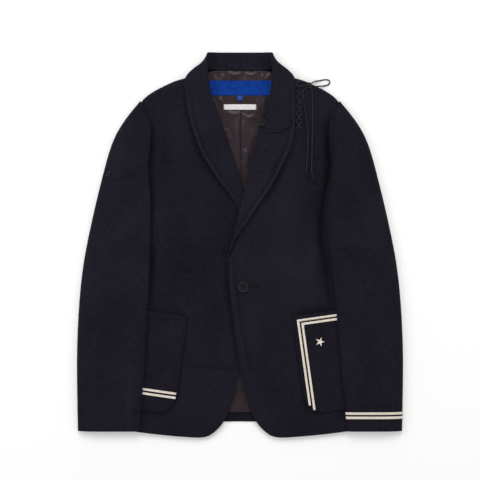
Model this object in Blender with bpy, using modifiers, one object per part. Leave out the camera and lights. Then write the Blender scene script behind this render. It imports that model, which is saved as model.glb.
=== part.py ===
"""A one-button blazer with a shawl collar, laid out flat with its front up.

Tables are in millimetres, as the garment is measured on a table:
    out   distance from the centre line towards the sleeve
    down  distance below the top edge of the collar
    z     height above the table
A side of +1 is the wearer's left, which lies towards +X and laps over the right.
"""

import math

import bmesh
import bpy
import numpy as np
from mathutils.bvhtree import BVHTree

MM = 0.001
LEFT, RIGHT = 1, -1
NAMES = {LEFT: "left", RIGHT: "right"}

# Driving sizes
LENGTH = 753.3  # collar top to the lowest point of the front hem
SAMPLE = 4.0  # spacing at which a piece is tested against what it lies on
SEAM = 0.3  # gap where two pieces are sewn together
LAY = 0.5  # gap where one piece lies on another
FRONT_WALL, BACK_WALL, SLEEVE_WALL, COLLAR_WALL = 2.4, 2.0, 2.0, 2.2
LINING_WALL, POCKET_WALL, TAB_WALL, TRIM_WALL = 1.0, 1.6, 1.8, 1.0
RIM = 16.0  # width over which a front rolls down to the table at its outline
HEEL = 3.0  # upright foot of that roll
FALL_LIFT = 3.2  # the shoulders and neck lie on the collar's fall
TIP_LIFT = 2.8  # the tips of the shoulders lie inside the sleeve heads
RIM_INSET, LINING_INSET = 3.8, 12.0  # the back and the lining end inside the front's roll

COLOURS = {  # colour, roughness
    "navy wool": ((0.016, 0.015, 0.021), 0.95),
    "plum lining": ((0.045, 0.027, 0.033), 0.4),
    "blue label": ((0.008, 0.045, 0.28), 0.6),
    "white label": ((0.72, 0.71, 0.70), 0.7),
    "cream tape": ((0.86, 0.77, 0.60), 0.85),
    "dark horn": ((0.035, 0.035, 0.042), 0.35),
    "lace": ((0.055, 0.055, 0.060), 0.8),
}

# Height of the fronts over the table, by distance down: at the centre, chest and side
LOFT_AT = (0.0, 120.0, 225.0)
BODY_LOFT = (  # down, centre, chest, side
    (33, 16.0, 16.5, 14.0),
    (104, 15.0, 18.5, 17.0),
    (180, 12.0, 18.5, 17.0),
    (275, 10.0, 17.0, 14.5),
    (400, 9.0, 15.0, 13.0),
    (550, 9.5, 14.0, 12.0),
    (750, 8.0, 11.0, 10.5),
)
SHOULDER = (  # out, down
    (74, 40.0), (88, 46.0), (103.4, 51.8), (124.8, 57.0), (148, 67.9), (173.6, 81.5),
    (190, 95.6), (196, 106.0),
)
UNDERARM = (280.0, 246.0)  # down, out
SIDE = (  # down, out
    UNDERARM, (312, 250), (350, 251.5), (400, 250), (470, 248.5), (560, 250), (650, 253),
    (735, 256),
)
FRONT_ARMHOLE = (  # down, out; it runs 6 mm under the sleeve head
    (106, 196), (124, 188), (140, 182), (173, 178.6), (203, 184), (232, 196), (258, 220), UNDERARM,
)
HEM = (  # out, down
    (57.5, 748.4), (75, 753.3), (94.6, 752.3), (143, 748.4), (179, 744.5), (208.6, 740.6),
    (235, 737.5), (256, 735),
)
BACK_HEM = 722.0  # down to the back's hem at its centre
HEM_BAND = 19.0  # how far the lining ends above it
FRONT_EDGE = (  # down, out; past the centre where it is negative
    (402, -24.0), (417, -24.4), (446, -22.4), (475.5, -20), (524, -15.6), (592.4, -5.9),
    (633.4, 1), (660.7, 8.8), (697.7, 18.5), (721, 28.3), (738.7, 43), (748.4, 57.5),
)
ROLL = {  # down, out of the fold of the collar
    LEFT: (
        (5.5, 58.5), (32.8, 62.4), (75.7, 58.5), (105, 52.7), (136, 41), (184.9, 29.3),
        (217, 21.5), (246.3, 14.6), (270.7, 8.8), (304.8, 0), (360, -13.5), (402, -23.8),
    ),
    RIGHT: (
        (5.5, 58.5), (31.8, 66.3), (58, 60.5), (87.4, 53.6), (124.4, 41), (158.5, 29.3),
        (197.5, 17.6), (226.8, 4.9), (268.7, -6.8), (330, -16), (402, -23.8),
    ),
}
ROLL_SEAM = (  # down, how far outside the fold the collar is sewn to the front
    (37, 12.5), (50, 10), (65, 8), (85, 6.4), (105, 5.6), (384, 5.6), (402, 0.0),
)
LAPEL = {  # down, out of the collar's outer edge
    LEFT: (
        (48, 106), (75.7, 106), (105, 107.3), (134.2, 107.3), (158.5, 105.3), (184.9, 99.5),
        (207.3, 89.7), (236.5, 76), (268.7, 58.5), (295, 39), (324.3, 19.5), (360.4, 0),
        (388, -13.0),
    ),
    RIGHT: (
        (48, 106), (73.7, 107.3), (95.2, 105.3), (134.2, 97.5), (165.4, 87.8), (197.5, 76),
        (223.9, 60.5), (249.2, 43.9), (270.7, 27.3), (301.9, 4), (340, -8), (388, -14.5),
    ),
}
# Sections of the collar round the neck, each from its neck seam over the fold to its edge.
# turn: 0 where the fold lies towards the top, 1 where it stands up, 2 where it faces the centre
NECK_SECTIONS = (  # turn, radius, (out, down, z) of the seam, fold, middle and edge
    (0.0, 3.0, (0.15, 37.2, 6.4), (0.15, 0, 3.0), (0.15, 24, 0), (0.15, 48, 0)),
    (0.0, 3.0, (20, 37.2, 6.4), (20, 0.4, 3.0), (20, 24, 0), (20, 48, 0)),
    (0.1, 3.1, (38, 37, 6.4), (38, 1.2, 3.3), (38, 25, 0), (39, 48.5, 0)),
    (0.3, 3.3, (51, 36.8, 6.6), (51, 3, 5.6), (55, 24, 0), (60, 48.5, 0)),
    (0.6, 3.5, (58, 36.2, 6.8), (57.5, 5.5, 9), (67, 20, 1.5), (74, 46, 0)),
    (0.85, 3.5, (62, 35.2, 7.2), (61.5, 13, 15), (78, 24, 6), (89, 42.6, 0.4)),
    (1.0, 3.5, (63.4, 35.6, 8), (64.5, 22, 20), (88, 31, 11), (99.5, 43.4, 3.6)),
    (1.05, 3.5, (63.8, 37.5, 9.5), (66, 32, 24), (96, 40, 16.5), (105.6, 47.6, 9)),
    (1.15, 3.5, (63.4, 43, 11), (65, 44, 26), (93, 51, 24), (107.5, 61, 21.5)),
)
COLLAR_ROWS = (56, 70, 86, 104, 124, 148, 175, 205, 238, 272, 306, 340, 366, 383)
COLLAR_TURN = ((44, 1.15), (70, 1.55), (86, 1.78), (104, 1.92), (124, 2.0), (402, 2.0))
COLLAR_SLANT = ((44, 17), (70, 19), (120, 16), (250, 13), (330, 8), (383, 3), (402, 2))
COLLAR_PUFF = ((44, 8.5), (90, 6.5), (150, 3.0), (250, 2.2), (402, 1.2))
SECTION_STEPS = (0, 0.5, 1, 1.5, 2, 2.5, 3, 3.5, 4, 4.5, 5)
FOLD_DEPTH = 3.3  # how deep the fold is once the collar lies on the front
EDGE_GAP = 1.2  # between the collar's seam edge and the front's, which are cut unlike

# Sleeves
SLEEVE_OUTER = (  # down, out
    (97.4, 195), (132, 223), (165.4, 244), (207.3, 258.4), (243.4, 268), (292, 280.3),
    (348.7, 293), (397.4, 303.5), (465.7, 312), (524, 316), (596, 318.5), (645, 318), (740, 316.3),
)
SLEEVE_INNER = {  # down, out of the armhole seam and then the fold that lies on the front
    LEFT: (
        (173, 172.6), (204, 175), (228, 178), (245, 175.5), (263, 169), (283, 163.5),
        (305, 161), (333, 161.5), (362.3, 167.7), (407, 173.6), (477.4, 183.3), (563, 191),
        (612, 195), (660.7, 200.9), (740, 209.6),
    ),
    RIGHT: (
        (173, 172.6), (204, 175.5), (228, 178.5), (245, 177.5), (268, 174), (333, 171.6),
        (387.7, 173.6), (504.7, 177.5), (557.3, 180.4), (654.8, 187.8), (740, 193.8),
    ),
}
SLEEVE_SEAM = (  # down, out of the armhole seam on the shoulder
    (97.4, 195), (103, 193), (118.6, 183), (136, 175.5), (173, 172.6),
)
SLEEVE_UNDER = (  # down, out of the hidden armhole seam on to the underarm
    (173, 172.6), (204, 183), (236, 202), (262, 227), (284, 250.6),
)
SLEEVE_FOOT = ((284, 250.6), (312, 254.4), (350, 256), (400, 254.5), (470, 253), (560, 254.5),
               (650, 257.5), (740, 260))
BACK_ARMHOLE = (  # down, out
    (104, 187), (125, 200), (155, 217), (190, 231), (225, 239.5), (252, 241.8), (281, 238.6),
)
CROWN = ((99.5, 23), (180, 26.5), (275, 24), (400, 22.5), (740, 20))  # down, height of the sleeve
FOLD_HEIGHT = 8.4  # least height of the sleeve where it lies on the front
FADE_RINGS = 7  # rings over which the sleeve leaves the armhole's line
ARMHOLE_GAP = (0.5, -0.3)  # out and down, from the back's armhole to the sleeve's
OUTER_ROLL, INNER_ROLL = 42.0, 13.0  # how far in the sleeve curves down at its two folds
CUFF_BANDS = ((702.0, 707.5), (710.2, 715.8))  # down, upper and lower edge of each cuff tape
RING_ROWS = (  # down where each ring meets the outer fold, the inner fold and the foot
    (97.4, 173, 284), (111, 178, 287), (126, 186, 291), (142, 197, 297), (162, 211, 304),
    (186, 228, 315), (215, 249, 330), (250, 277, 350), (295, 314, 376), (350, 362, 412),
    (412, 419, 456), (476, 480, 506), (540, 542, 558), (600, 601, 608), (655, 655, 656),
    *((down, down, down) for band in CUFF_BANDS for down in band), (740, 740, 740),
)

# Pockets, measured in their own frame from the front end of the mouth
POCKET_CORNER = (102.0, 516.6)  # out, down
POCKET_TILT = math.radians(8)
POCKET_HEIGHT, POCKET_ROUND, POCKET_OUTER = 194.0, 34.0, 237.0
POCKET_GAPE = 2.5
POCKET_BANDS = ((149.2, 154.2), (157.3, 162.3))  # straight tapes of the right pocket
ANGLE_BANDS = ((7.0, 12.0, 176.0), (14.5, 19.5, 186.0))  # L-shaped tapes: inset from, to, end
STAR_AT, STAR_RADIUS, STAR_INNER = (46.0, 56.2), 9.8, 0.42

# Small pieces
FRONT_BUTTON = dict(at=(6.4, 459.8), diameter=20.5, thickness=4.2)
COLLAR_BUTTON = dict(at=(42.9, 140.0), diameter=14.0, thickness=3.4)
LABEL_MAIN = dict(width=124.0, top=58.0, bottom=86.4)
LABEL_SIZE = dict(width=10.0, top=87.0, bottom=95.4)
LABEL_CARE = dict(width=63.0, top=104.0, bottom=114.3)
LACE = 2.8  # diameter
LACE_SLOPE = 0.9  # how steeply a lace falls off an edge
LACE_WINDOW = 4.5  # a lace bridges hollows narrower than twice this
KNOT = (134.6, 66.2)  # out, down
LACING = dict(near=112.0, far=124.5, drift=2.5, first=76.0, last=154.0, rungs=6)
LOOP_RIGHT = ((139.6, 64.2), (143.5, 60.5), (154.6, 57.5), (165.8, 55.5), (172.5, 56.3),
              (175.3, 60.3), (172.5, 65), (165.8, 67.3), (154.6, 69.3), (146, 69.9), (141.1, 68.6))
LOOP_LEFT = ((129.6, 64.2), (121.5, 61.2), (114, 61.2), (110.4, 65), (111.8, 69.2), (116.5, 70),
             (123, 69.2), (129.9, 68.8))
END_ONE = ((133.6, 71.7), (128, 73.6), (123.4, 77.5), (122.2, 85), (123.3, 96), (126.8, 117.4),
           (130.6, 142.5), (132.2, 164.8), (131.6, 192.7), (130, 217.8), (128.5, 237.3),
           (130.1, 248.4))
END_TWO = ((138.5, 71.7), (140, 82), (140.6, 96), (140.8, 117.4), (140.6, 150.9), (140.2, 178.8),
           (139.6, 206.3), (139.2, 234.4), (142.2, 248.4), (144.9, 259.5))


# ---------------------------------------------------------------- curves and grids


def smooth(table, at):
    """The later columns of a table at the places `at` of its first, on a smooth curve."""
    table = np.array(table, float)
    at = np.asarray(at, float)
    x, y = table[:, 0], table[:, 1:]
    slope = np.gradient(y, x, axis=0)
    i = np.clip(np.searchsorted(x, at) - 1, 0, len(x) - 2)
    step = (x[i + 1] - x[i])[..., None]
    t = np.clip((at - x[i])[..., None] / step, -0.5, 1.5)
    a, b, c = y[i], y[i + 1], t * t * (3 - 2 * t)
    flow = t * (1 - t) * ((1 - t) * slope[i] - t * slope[i + 1]) * step
    value = a + (b - a) * c + flow
    return value[..., 0] if value.shape[-1] == 1 else value


def curve(points, shares):
    """Points at shares of the length of a smooth curve through the given points."""
    points = np.array(points, float)
    steps = np.linalg.norm(np.diff(points, axis=0), axis=1)
    knots = np.concatenate([[0], np.cumsum(steps)])
    fine = smooth(np.column_stack([knots, points]), np.linspace(0, knots[-1], 400))
    run = np.concatenate([[0], np.cumsum(np.linalg.norm(np.diff(fine, axis=0), axis=1))])
    at = np.asarray(shares, float) * run[-1]
    return np.column_stack([np.interp(at, run, fine[:, k]) for k in range(fine.shape[1])])


def swap(table):
    """Rows of (down, out) as plan points (out, down)."""
    return [(out, down) for down, out in table]


def patch(top, bottom, first, last):
    """Plan points between four edges, rows from top to bottom and columns first to last."""
    run = np.concatenate([[0], np.cumsum(np.linalg.norm(np.diff(bottom, axis=0), axis=1))])
    u = (run / run[-1])[None, :, None]
    run = np.concatenate([[0], np.cumsum(np.linalg.norm(np.diff(first, axis=0), axis=1))])
    v = (run / run[-1])[:, None, None]
    across = (1 - u) * first[:, None] + u * last[:, None]
    along = (1 - v) * top[None] + v * bottom[None]
    corners = ((1 - u) * (1 - v) * top[0] + u * (1 - v) * top[-1]
               + (1 - u) * v * bottom[0] + u * v * bottom[-1])
    return across + along - corners


def ease(value):
    """A smooth step from 0 to 1."""
    value = np.clip(value, 0, 1)
    return value * value * (3 - 2 * value)


def roll(distance, width):
    """Height share of a rounded rim at a distance in from its outline."""
    return np.sqrt(np.maximum(0, 1 - np.maximum(0, 1 - distance / width) ** 2))


# ---------------------------------------------------------------- the body's form


def shoulder_distance(out, down):
    """How far a plan point is inside the shoulder line."""
    line = np.array([(o, d) for o, d in SHOULDER], float)
    below = down - smooth(line, np.clip(out, line[0, 0], line[-1, 0]))
    ahead = np.clip(out, line[0, 0] + 1, line[-1, 0] - 1)
    slope = smooth(line, ahead + 1) - smooth(line, ahead - 1)
    past_tip = np.maximum(0, out - line[-1, 0])
    return (below - past_tip) / np.sqrt(1 + (slope / 2) ** 2)


def side_distance(out, down):
    """How far a plan point is inside the side seam, or from the underarm above it."""
    seam = smooth(SIDE, np.clip(down, UNDERARM[0], SIDE[-1][0]))
    above = np.maximum(0, UNDERARM[0] - down)
    return np.sign(seam - out + 1e-6 + above) * np.hypot(seam - out, above)


def fall_lift(out, down):
    """How far the neck and shoulders are raised by the collar's fall below them."""
    return FALL_LIFT * (1 - ease((down - 52) / 60)) * (1 - ease((out - 92) / 50))


def rest_lift(out, down):
    """Height of a front's lower edge: over the collar's fall, and inside the sleeve head."""
    return fall_lift(out, down) + TIP_LIFT * ease((out - 184) / 6) * (1 - ease((down - 110) / 40))


def body_top(out, down, over=0.0):
    """Height of the fronts' outer face, or of a face that lies `over` it."""
    out, down = np.broadcast_arrays(np.asarray(out, float), np.asarray(down, float))
    loft = smooth(BODY_LOFT, np.clip(down, 33, 750))
    a, b, c = (loft[..., k] for k in range(3))
    t = np.clip((out + 30) / (LOFT_AT[1] + 30), 0, 1)
    inner = a + (b - a) * ease(t)
    outer = b + (c - b) * ease((out - LOFT_AT[1]) / (LOFT_AT[2] - LOFT_AT[1]))
    height = np.where(out < LOFT_AT[1], inner, outer) - HEEL + over
    rim = (roll(shoulder_distance(out, down) + over, RIM + over)
           * roll(side_distance(out, down) + over, RIM + over))
    return HEEL + height * rim + rest_lift(out, down)


# ---------------------------------------------------------------- making the pieces


def material(name):
    """The named material, made once."""
    if name in bpy.data.materials:
        return bpy.data.materials[name]
    colour, roughness = COLOURS[name]
    new = bpy.data.materials.new(name)
    new.use_nodes = True
    shader = new.node_tree.nodes["Principled BSDF"]
    shader.inputs["Base Color"].default_value = (*colour, 1)
    shader.inputs["Roughness"].default_value = roughness
    new.diffuse_color = (*colour, 1)
    return new


def world(side, point):
    """A garment point (out, down, z) in metres, on its side."""
    out, down, z = point
    return (side * out * MM, (LENGTH / 2 - down) * MM, z * MM)


def add(name, data, colour):
    """A named object in the blazer's collection."""
    obj = bpy.data.objects.new(name, data)
    obj.data.materials.append(material(colour))
    bpy.data.collections["blazer"].objects.link(obj)
    bpy.context.view_layer.update()
    return obj


def wall(name, side, points, thickness, colour, face=1, tube=False):
    """A cloth wall: a grid of outer-face points that is thickened inwards.

    face is the side, up (1) or down (-1), that its middle point shows.
    """
    rows, columns = points.shape[:2]
    bm = bmesh.new()
    bmesh.ops.create_grid(bm, x_segments=columns - 1, y_segments=rows - 1, size=0.5)
    for vert, point in zip(bm.verts, points.reshape(-1, 3)):
        vert.co = world(side, point)
    middle = (rows // 2) * columns + (columns // 3 if tube else columns // 2)
    bm.verts.ensure_lookup_table()
    bm.normal_update()
    if bm.verts[middle].normal.z * face < 0:
        bmesh.ops.reverse_faces(bm, faces=bm.faces)
    if tube:
        bmesh.ops.remove_doubles(bm, verts=bm.verts, dist=1e-5)
    mesh = bpy.data.meshes.new(name)
    bm.to_mesh(mesh)
    bm.free()
    mesh.shade_smooth()
    obj = add(name, mesh, colour)
    solid = obj.modifiers.new("Thickness", "SOLIDIFY")
    solid.thickness = thickness * MM
    solid.offset = -1
    bpy.context.view_layer.update()
    return obj


def heights(side, *objects):
    """A function for the height of the highest of these pieces over a plan point."""
    graph = bpy.context.evaluated_depsgraph_get()
    trees = []
    for obj in objects:
        shape = obj.evaluated_get(graph)
        mesh = shape.to_mesh()
        corners = [shape.matrix_world @ vert.co for vert in mesh.vertices]
        trees.append(BVHTree.FromPolygons(corners, [face.vertices[:] for face in mesh.polygons]))
        shape.to_mesh_clear()

    def height(out, down):
        x, y, _ = world(side, (out, down, 0))
        found = [tree.ray_cast((x, y, 1.0), (0, 0, -1))[0] for tree in trees]
        found = [hit.z / MM for hit in found if hit is not None]
        return max(found) if found else None

    return height


def settle(points, height, need, spread=2):
    """Raises a grid until all of every cell is `need` over what lies below it."""
    points = points.copy()
    rows, columns = points.shape[:2]
    lift = np.zeros((rows, columns))
    samples = []
    for r in range(rows - 1):
        for c in range(columns - 1):
            corners = ((r, c), (r, c + 1), (r + 1, c), (r + 1, c + 1))
            edges = (corners[:2], corners[2:], corners[::2], corners[1::2])
            size = [math.dist(points[a][:2], points[b][:2]) for a, b in edges]
            wide, tall = max(size[:2]), max(size[2:])
            for u in np.linspace(0, 1, 2 + int(wide / SAMPLE)):
                for v in np.linspace(0, 1, 2 + int(tall / SAMPLE)):
                    weights = ((1 - u) * (1 - v), u * (1 - v), (1 - u) * v, u * v)
                    point = sum(w * points[k] for w, k in zip(weights, corners))
                    ground = height(point[0], point[1])
                    if ground is not None:
                        samples.append((corners, weights, ground + need - point[2]))
    for _ in range(8):
        short = np.zeros((rows, columns))
        for corners, weights, lack in samples:
            lack -= sum(w * lift[k] for w, k in zip(weights, corners))
            if lack > 0:
                for w, k in zip(weights, corners):
                    if w > 0.05:
                        short[k] = max(short[k], lack)
        if short.max() < 0.01:
            break
        lift += short
    for _ in range(spread):
        around = np.pad(lift, 1, mode="edge")
        blurred = (around[:-2, 1:-1] + around[2:, 1:-1] + around[1:-1, :-2]
                   + around[1:-1, 2:] + 4 * lift) / 8
        lift = np.maximum(lift, blurred)
    points[..., 2] += lift
    return points


def laid(name, side, plan, below, thickness, colour, raised=0.0):
    """A flat piece that lies on others, from its plan points (out, down)."""
    height = heights(side, *below)
    top = np.full(plan.shape[:2], thickness + LAY) + raised
    ground = np.array([[height(*point) or 0 for point in row] for row in plan])
    points = np.dstack([plan, top + ground])
    points = settle(points, height, thickness * 1.05 + LAY * 0.8, spread=1)
    return wall(name, side, points, thickness, colour)


def tube(name, side, route, diameter, colour, spacing=2.6):
    """A cord along route points (out, down, z)."""
    route = np.array(route, float)
    length = np.linalg.norm(np.diff(route, axis=0), axis=1).sum()
    count = max(6, round(length / (diameter * spacing)))
    points = curve(route, np.linspace(0, 1, count))
    data = bpy.data.curves.new(name, "CURVE")
    data.dimensions = "3D"
    data.bevel_depth = diameter / 2 * MM
    data.bevel_resolution = 2
    data.use_fill_caps = True
    spline = data.splines.new("POLY")
    spline.points.add(count - 1)
    for target, point in zip(spline.points, points):
        target.co = (*world(side, point), 1)
    return add(name, data, colour)


# ---------------------------------------------------------------- fronts, back and lining


def front_inner(side, down):
    """The front's inner edge: the collar seam, and below the break the front edge."""
    folded = smooth(ROLL[side], np.clip(down, 5.5, 402)) + smooth(ROLL_SEAM, np.clip(down, 37, 402))
    return np.where(down < 402, folded, smooth(FRONT_EDGE, np.clip(down, 402, 748.4)))


ACROSS = np.array([0, 0.03, 0.09, 0.18, 0.29, 0.41, 0.53, 0.65, 0.76, 0.86, 0.93, 0.968, 0.99, 1])
ALONG = np.array([0, 0.004, 0.012, 0.025, 0.05, 0.09, 0.135, 0.18, 0.225, 0.28, 0.335, 0.39, 0.445,
                  0.5, 0.57, 0.64, 0.71, 0.78, 0.85, 0.91, 0.96, 1])
UNDERARM_ROW = 9  # the row of ALONG that meets the underarm


def front_plan(side):
    """Plan points of a front between its shoulder, hem, inner edge and armhole and side."""
    downs = np.concatenate([np.linspace(SHOULDER[0][1], 402, 40), [d for d, _ in FRONT_EDGE[1:]]])
    inner = np.column_stack([front_inner(side, downs), downs])
    inner[0, 0] = SHOULDER[0][0]
    inner = curve(inner, ALONG)
    turn = ALONG[UNDERARM_ROW]
    armhole = curve(swap(FRONT_ARMHOLE), ALONG[:UNDERARM_ROW] / turn)
    seam = curve(swap(SIDE), (ALONG[UNDERARM_ROW:] - turn) / (1 - turn))
    outer = np.concatenate([armhole, seam])
    top = curve(SHOULDER, ACROSS)
    bottom = curve(HEM, ACROSS)
    return patch(top, bottom, inner, outer)


def make_front(side, below=()):
    """One front, from its collar seam to its side, rolled down to the table at its outline.

    Along the shoulder and the side seam its edge stands upright on the table.
    """
    plan = front_plan(side)
    edge_down = plan[:, -1, 1]
    sewn = ease((edge_down - UNDERARM[0] + 18) / 18)  # 0 at the armhole, 1 along the side seam
    plan[:, -2] += (plan[:, -1] - plan[:, -2]) * sewn[:, None]
    z = body_top(plan[..., 0], plan[..., 1])
    z[:, -1] *= 1 - sewn
    points = np.dstack([plan, z])
    if below:
        lifted = settle(points, heights(side, *below), FRONT_WALL * 1.06 + LAY, spread=3)
        points[:, :-2] = lifted[:, :-2]
    foot = points[:1].copy()
    foot[..., 2] = rest_lift(foot[..., 0], foot[..., 1])
    points = np.concatenate([foot, points])
    return wall("front_" + NAMES[side], side, points, FRONT_WALL, "navy wool")


def armhole_points():
    """The back's armhole, where the sleeve is sewn on edge to edge."""
    return curve(swap(BACK_ARMHOLE), np.linspace(0, 1, 6))


def back_plan(rows, columns, inset):
    """Plan points of one half of the back inside the front's roll."""
    u = np.linspace(0, 1, columns)
    neck = [(SEAM / 2, 38.2), (40, 38.2), (64, 38.6)]
    slope = [(out - 1.0, down + inset) for out, down in SHOULDER[1:-1]]
    armhole = armhole_points()
    seam = curve([(out - inset, down) for down, out in SIDE], np.linspace(0, 1, rows - 5))
    outer = np.concatenate([armhole, seam[1:]])
    run = np.concatenate([[0], np.cumsum(np.linalg.norm(np.diff(outer, axis=0), axis=1))])
    top = curve([*neck, *slope, tuple(outer[0])], u)
    bottom = curve([(SEAM / 2, BACK_HEM), (80, 723), (170, 727), tuple(outer[-1])], u)
    inner = curve([(SEAM / 2, 38.2), (SEAM / 2, BACK_HEM)], run / run[-1])
    return patch(top, bottom, inner, outer)


def back(side):
    """One half of the back, flat on the table and raised over the collar's fall."""
    plan = back_plan(14, 8, RIM_INSET)
    z = fall_lift(plan[..., 0], plan[..., 1])
    return wall("back_" + NAMES[side], side, np.dstack([plan, z]), BACK_WALL, "navy wool", face=-1)


def lining(below):
    """The back lining with its centre pleat."""
    half = back_plan(14, 8, LINING_INSET)
    half[..., 0] *= 0.95
    half[:, 0, 0] = 0
    plan = np.concatenate([half[:, :0:-1] * (-1, 1), half], axis=1)
    out, down = plan[..., 0], plan[..., 1]
    plan[..., 1] = np.where(down > 400, down - HEM_BAND * ease((down - 400) / 300), down + 0.6)
    pleat = 2.2 * np.exp(-((out / 9.0) ** 2)) * ease((down - 60) / 40) * ease((560 - down) / 200)
    z = BACK_WALL + LAY + LINING_WALL + fall_lift(np.abs(out), down) + pleat
    points = settle(np.dstack([plan, z]), heights(LEFT, *below), LINING_WALL * 1.2 + LAY)
    return wall("lining_back", LEFT, points, LINING_WALL, "plum lining")


# ---------------------------------------------------------------- collar


def section(turn, radius, seam, fold, middle, edge, depth=None):
    """One section of the collar from its seam round the fold to its edge."""
    depth = depth or radius
    seam, fold, middle, edge = (np.array(p, float) for p in (seam, fold, middle, edge))
    angle = turn * math.pi / 2
    across = np.array([math.sin(angle), 0, -math.cos(angle)])
    away = (seam + middle) / 2 - fold
    away -= across * (away @ across)
    away /= np.linalg.norm(away)
    rise = fold - across * radius + away * depth
    fall = fold + across * radius + away * depth
    knots = np.array([seam, rise, fold, fall, middle, edge])
    points = smooth(np.column_stack([np.arange(6), knots]), np.array(SECTION_STEPS, float))
    for k, step in enumerate(SECTION_STEPS):  # a true arc round the fold
        if 1 < step < 3:
            bend = (step - 2) * math.pi / 2
            points[k] = fold + away * depth * (1 - math.cos(bend)) + across * radius * math.sin(bend)
    points[:, 2] = np.maximum(points[:, 2], 0)
    return points


def collar(side, lying_on, beneath):
    """One half of the shawl collar, from the centre back to the break."""
    height = heights(side, *lying_on)
    under = heights(side, *beneath)
    rows = [section(*row) for row in NECK_SECTIONS]
    for down in COLLAR_ROWS:
        turn = float(smooth(COLLAR_TURN, down))
        puff = float(smooth(COLLAR_PUFF, down))
        fold = float(smooth(ROLL[side], down))
        seam_out = float(front_inner(side, down)) - EDGE_GAP
        edge_down = down + float(smooth(COLLAR_SLANT, down))
        edge_out = float(smooth(LAPEL[side], min(edge_down, 388)))
        ground = height(seam_out + 2.5, down) or float(body_top(seam_out + 2.5, down))
        crossed = [under(fold + a, down + b) for a in (-1, 2, 5, 8) for b in (-12, 0, 12)]
        crossed = [z + LAY * 1.6 for z in crossed if z is not None]
        seam_z = max([ground - FRONT_WALL, *crossed])
        upright = 2 - turn
        seam_out -= upright * COLLAR_WALL
        leaf_z = max(ground + LAY + COLLAR_WALL + puff, seam_z + COLLAR_WALL * 2.3)
        half = (leaf_z - seam_z) / 2
        radius = half + (3.5 - half) * upright
        fold_z = leaf_z - half * (1 - upright) + upright * 0.5
        middle_out, middle_down = (fold + edge_out) / 2 + 1, (down + edge_down) / 2
        clear = LAY + COLLAR_WALL * 1.05
        middle_z = (height(middle_out, middle_down) or ground) + clear + puff * 0.8
        edge_z = (height(edge_out, edge_down) or ground) + clear + 0.25 + puff * 0.12
        rows.append(section(
            turn, radius, (seam_out, down, seam_z),
            (fold + 3.5 * upright, down, fold_z),
            (middle_out, middle_down, middle_z), (edge_out, edge_down, edge_z),
            depth=min(radius, FOLD_DEPTH)))
    points = np.array(rows)
    first, leaf = len(NECK_SECTIONS), SECTION_STEPS.index(3)
    points[first:, leaf:] = settle(points[first:, leaf:], height, clear, spread=1)
    return points


def make_collar(side, lying_on, beneath=()):
    points = collar(side, lying_on, beneath)
    return wall("collar_" + NAMES[side], side, points, COLLAR_WALL, "navy wool", face=1)


# ---------------------------------------------------------------- sleeves


def guide(table, column):
    """A guide's plan points at the rings."""
    down = np.array(RING_ROWS, float)[:, column]
    return np.column_stack([smooth(table, down), down])


def across_rings(first, last, start, shares):
    """Plan points of rings between two guides, which leave the armhole along its own line."""
    chord = first[:, None] + (last - first)[:, None] * shares[None, :, None]
    fade = 1 - ease(np.arange(len(first)) / FADE_RINGS)
    return chord + fade[:, None, None] * (start - chord[0])[None]


def off_line(points, line):
    """Distances of plan points from a line through plan points."""
    a, b = line[:-1], line[1:]
    along = b - a
    to = points[..., None, :] - a
    t = np.clip((to * along).sum(-1) / (along * along).sum(-1), 0, 1)
    return np.linalg.norm(to - t[..., None] * along, axis=-1).min(axis=-1)


def sleeve(side, height):
    """Ring points of a sleeve: over the top, back under on the front, and along the table."""
    outer = guide(SLEEVE_OUTER, 0)
    inner = guide(SLEEVE_INNER[side], 1)
    foot = guide(SLEEVE_FOOT, 2)

    share = np.array([0, 0.012, 0.04, 0.09, 0.17, 0.3, 0.46, 0.62, 0.77, 0.88, 0.95, 0.985, 1])
    upper = across_rings(outer, inner, curve(swap(SLEEVE_SEAM), share), share)
    low = np.array([max(height(out + a, down) or 0 for a in (1, 6, 16)) for out, down in inner])
    low = np.maximum(low, body_top(inner[:, 0], inner[:, 1])) + LAY
    low = np.maximum(low, np.convolve(np.pad(low, 1, mode="edge"), (0.5, 0, 0.5), "valid"))[:, None]
    crown = np.maximum(smooth(CROWN, np.clip(upper[..., 1], 99.5, 740)), low + FOLD_HEIGHT)
    fold = low + (crown - low) * 0.45
    dome = HEEL + (crown - HEEL) * roll(off_line(upper, outer), OUTER_ROLL)
    dome = fold + (dome - fold) * roll(off_line(upper, inner), INNER_ROLL)
    dome[:, -1] = fold[:, -1]
    dome[:, 0] = HEEL
    sewn = body_top(upper[:1, :, 0], upper[:1, :, 1], SLEEVE_WALL + LAY * 1.8)
    sewn = sewn + 3.4 * ease((share - 0.55) / 0.35)[None]
    sewn[:, -1] -= 3.4
    sewn[:, 0] = HEEL
    away = np.linalg.norm(upper - upper[:1], axis=2)
    top_z = sewn + (dome - sewn) * ease(away / 42) ** 0.8
    upper = np.dstack([upper, top_z])

    share = np.array([0, 0.05, 0.22, 0.48, 0.68, 0.8, 0.89, 0.955, 1])
    lower = across_rings(inner, foot, curve(swap(SLEEVE_UNDER), share), share)
    rest = body_top(lower[..., 0], lower[..., 1], LAY + 0.9)
    rest = rest + (top_z[:, -1:] - rest) * (1 - roll(off_line(lower, inner), 5.0))
    rest[:, 0] = top_z[:, -1]
    lower = np.dstack([lower, rest])
    return upper, lower, foot, outer


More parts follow.
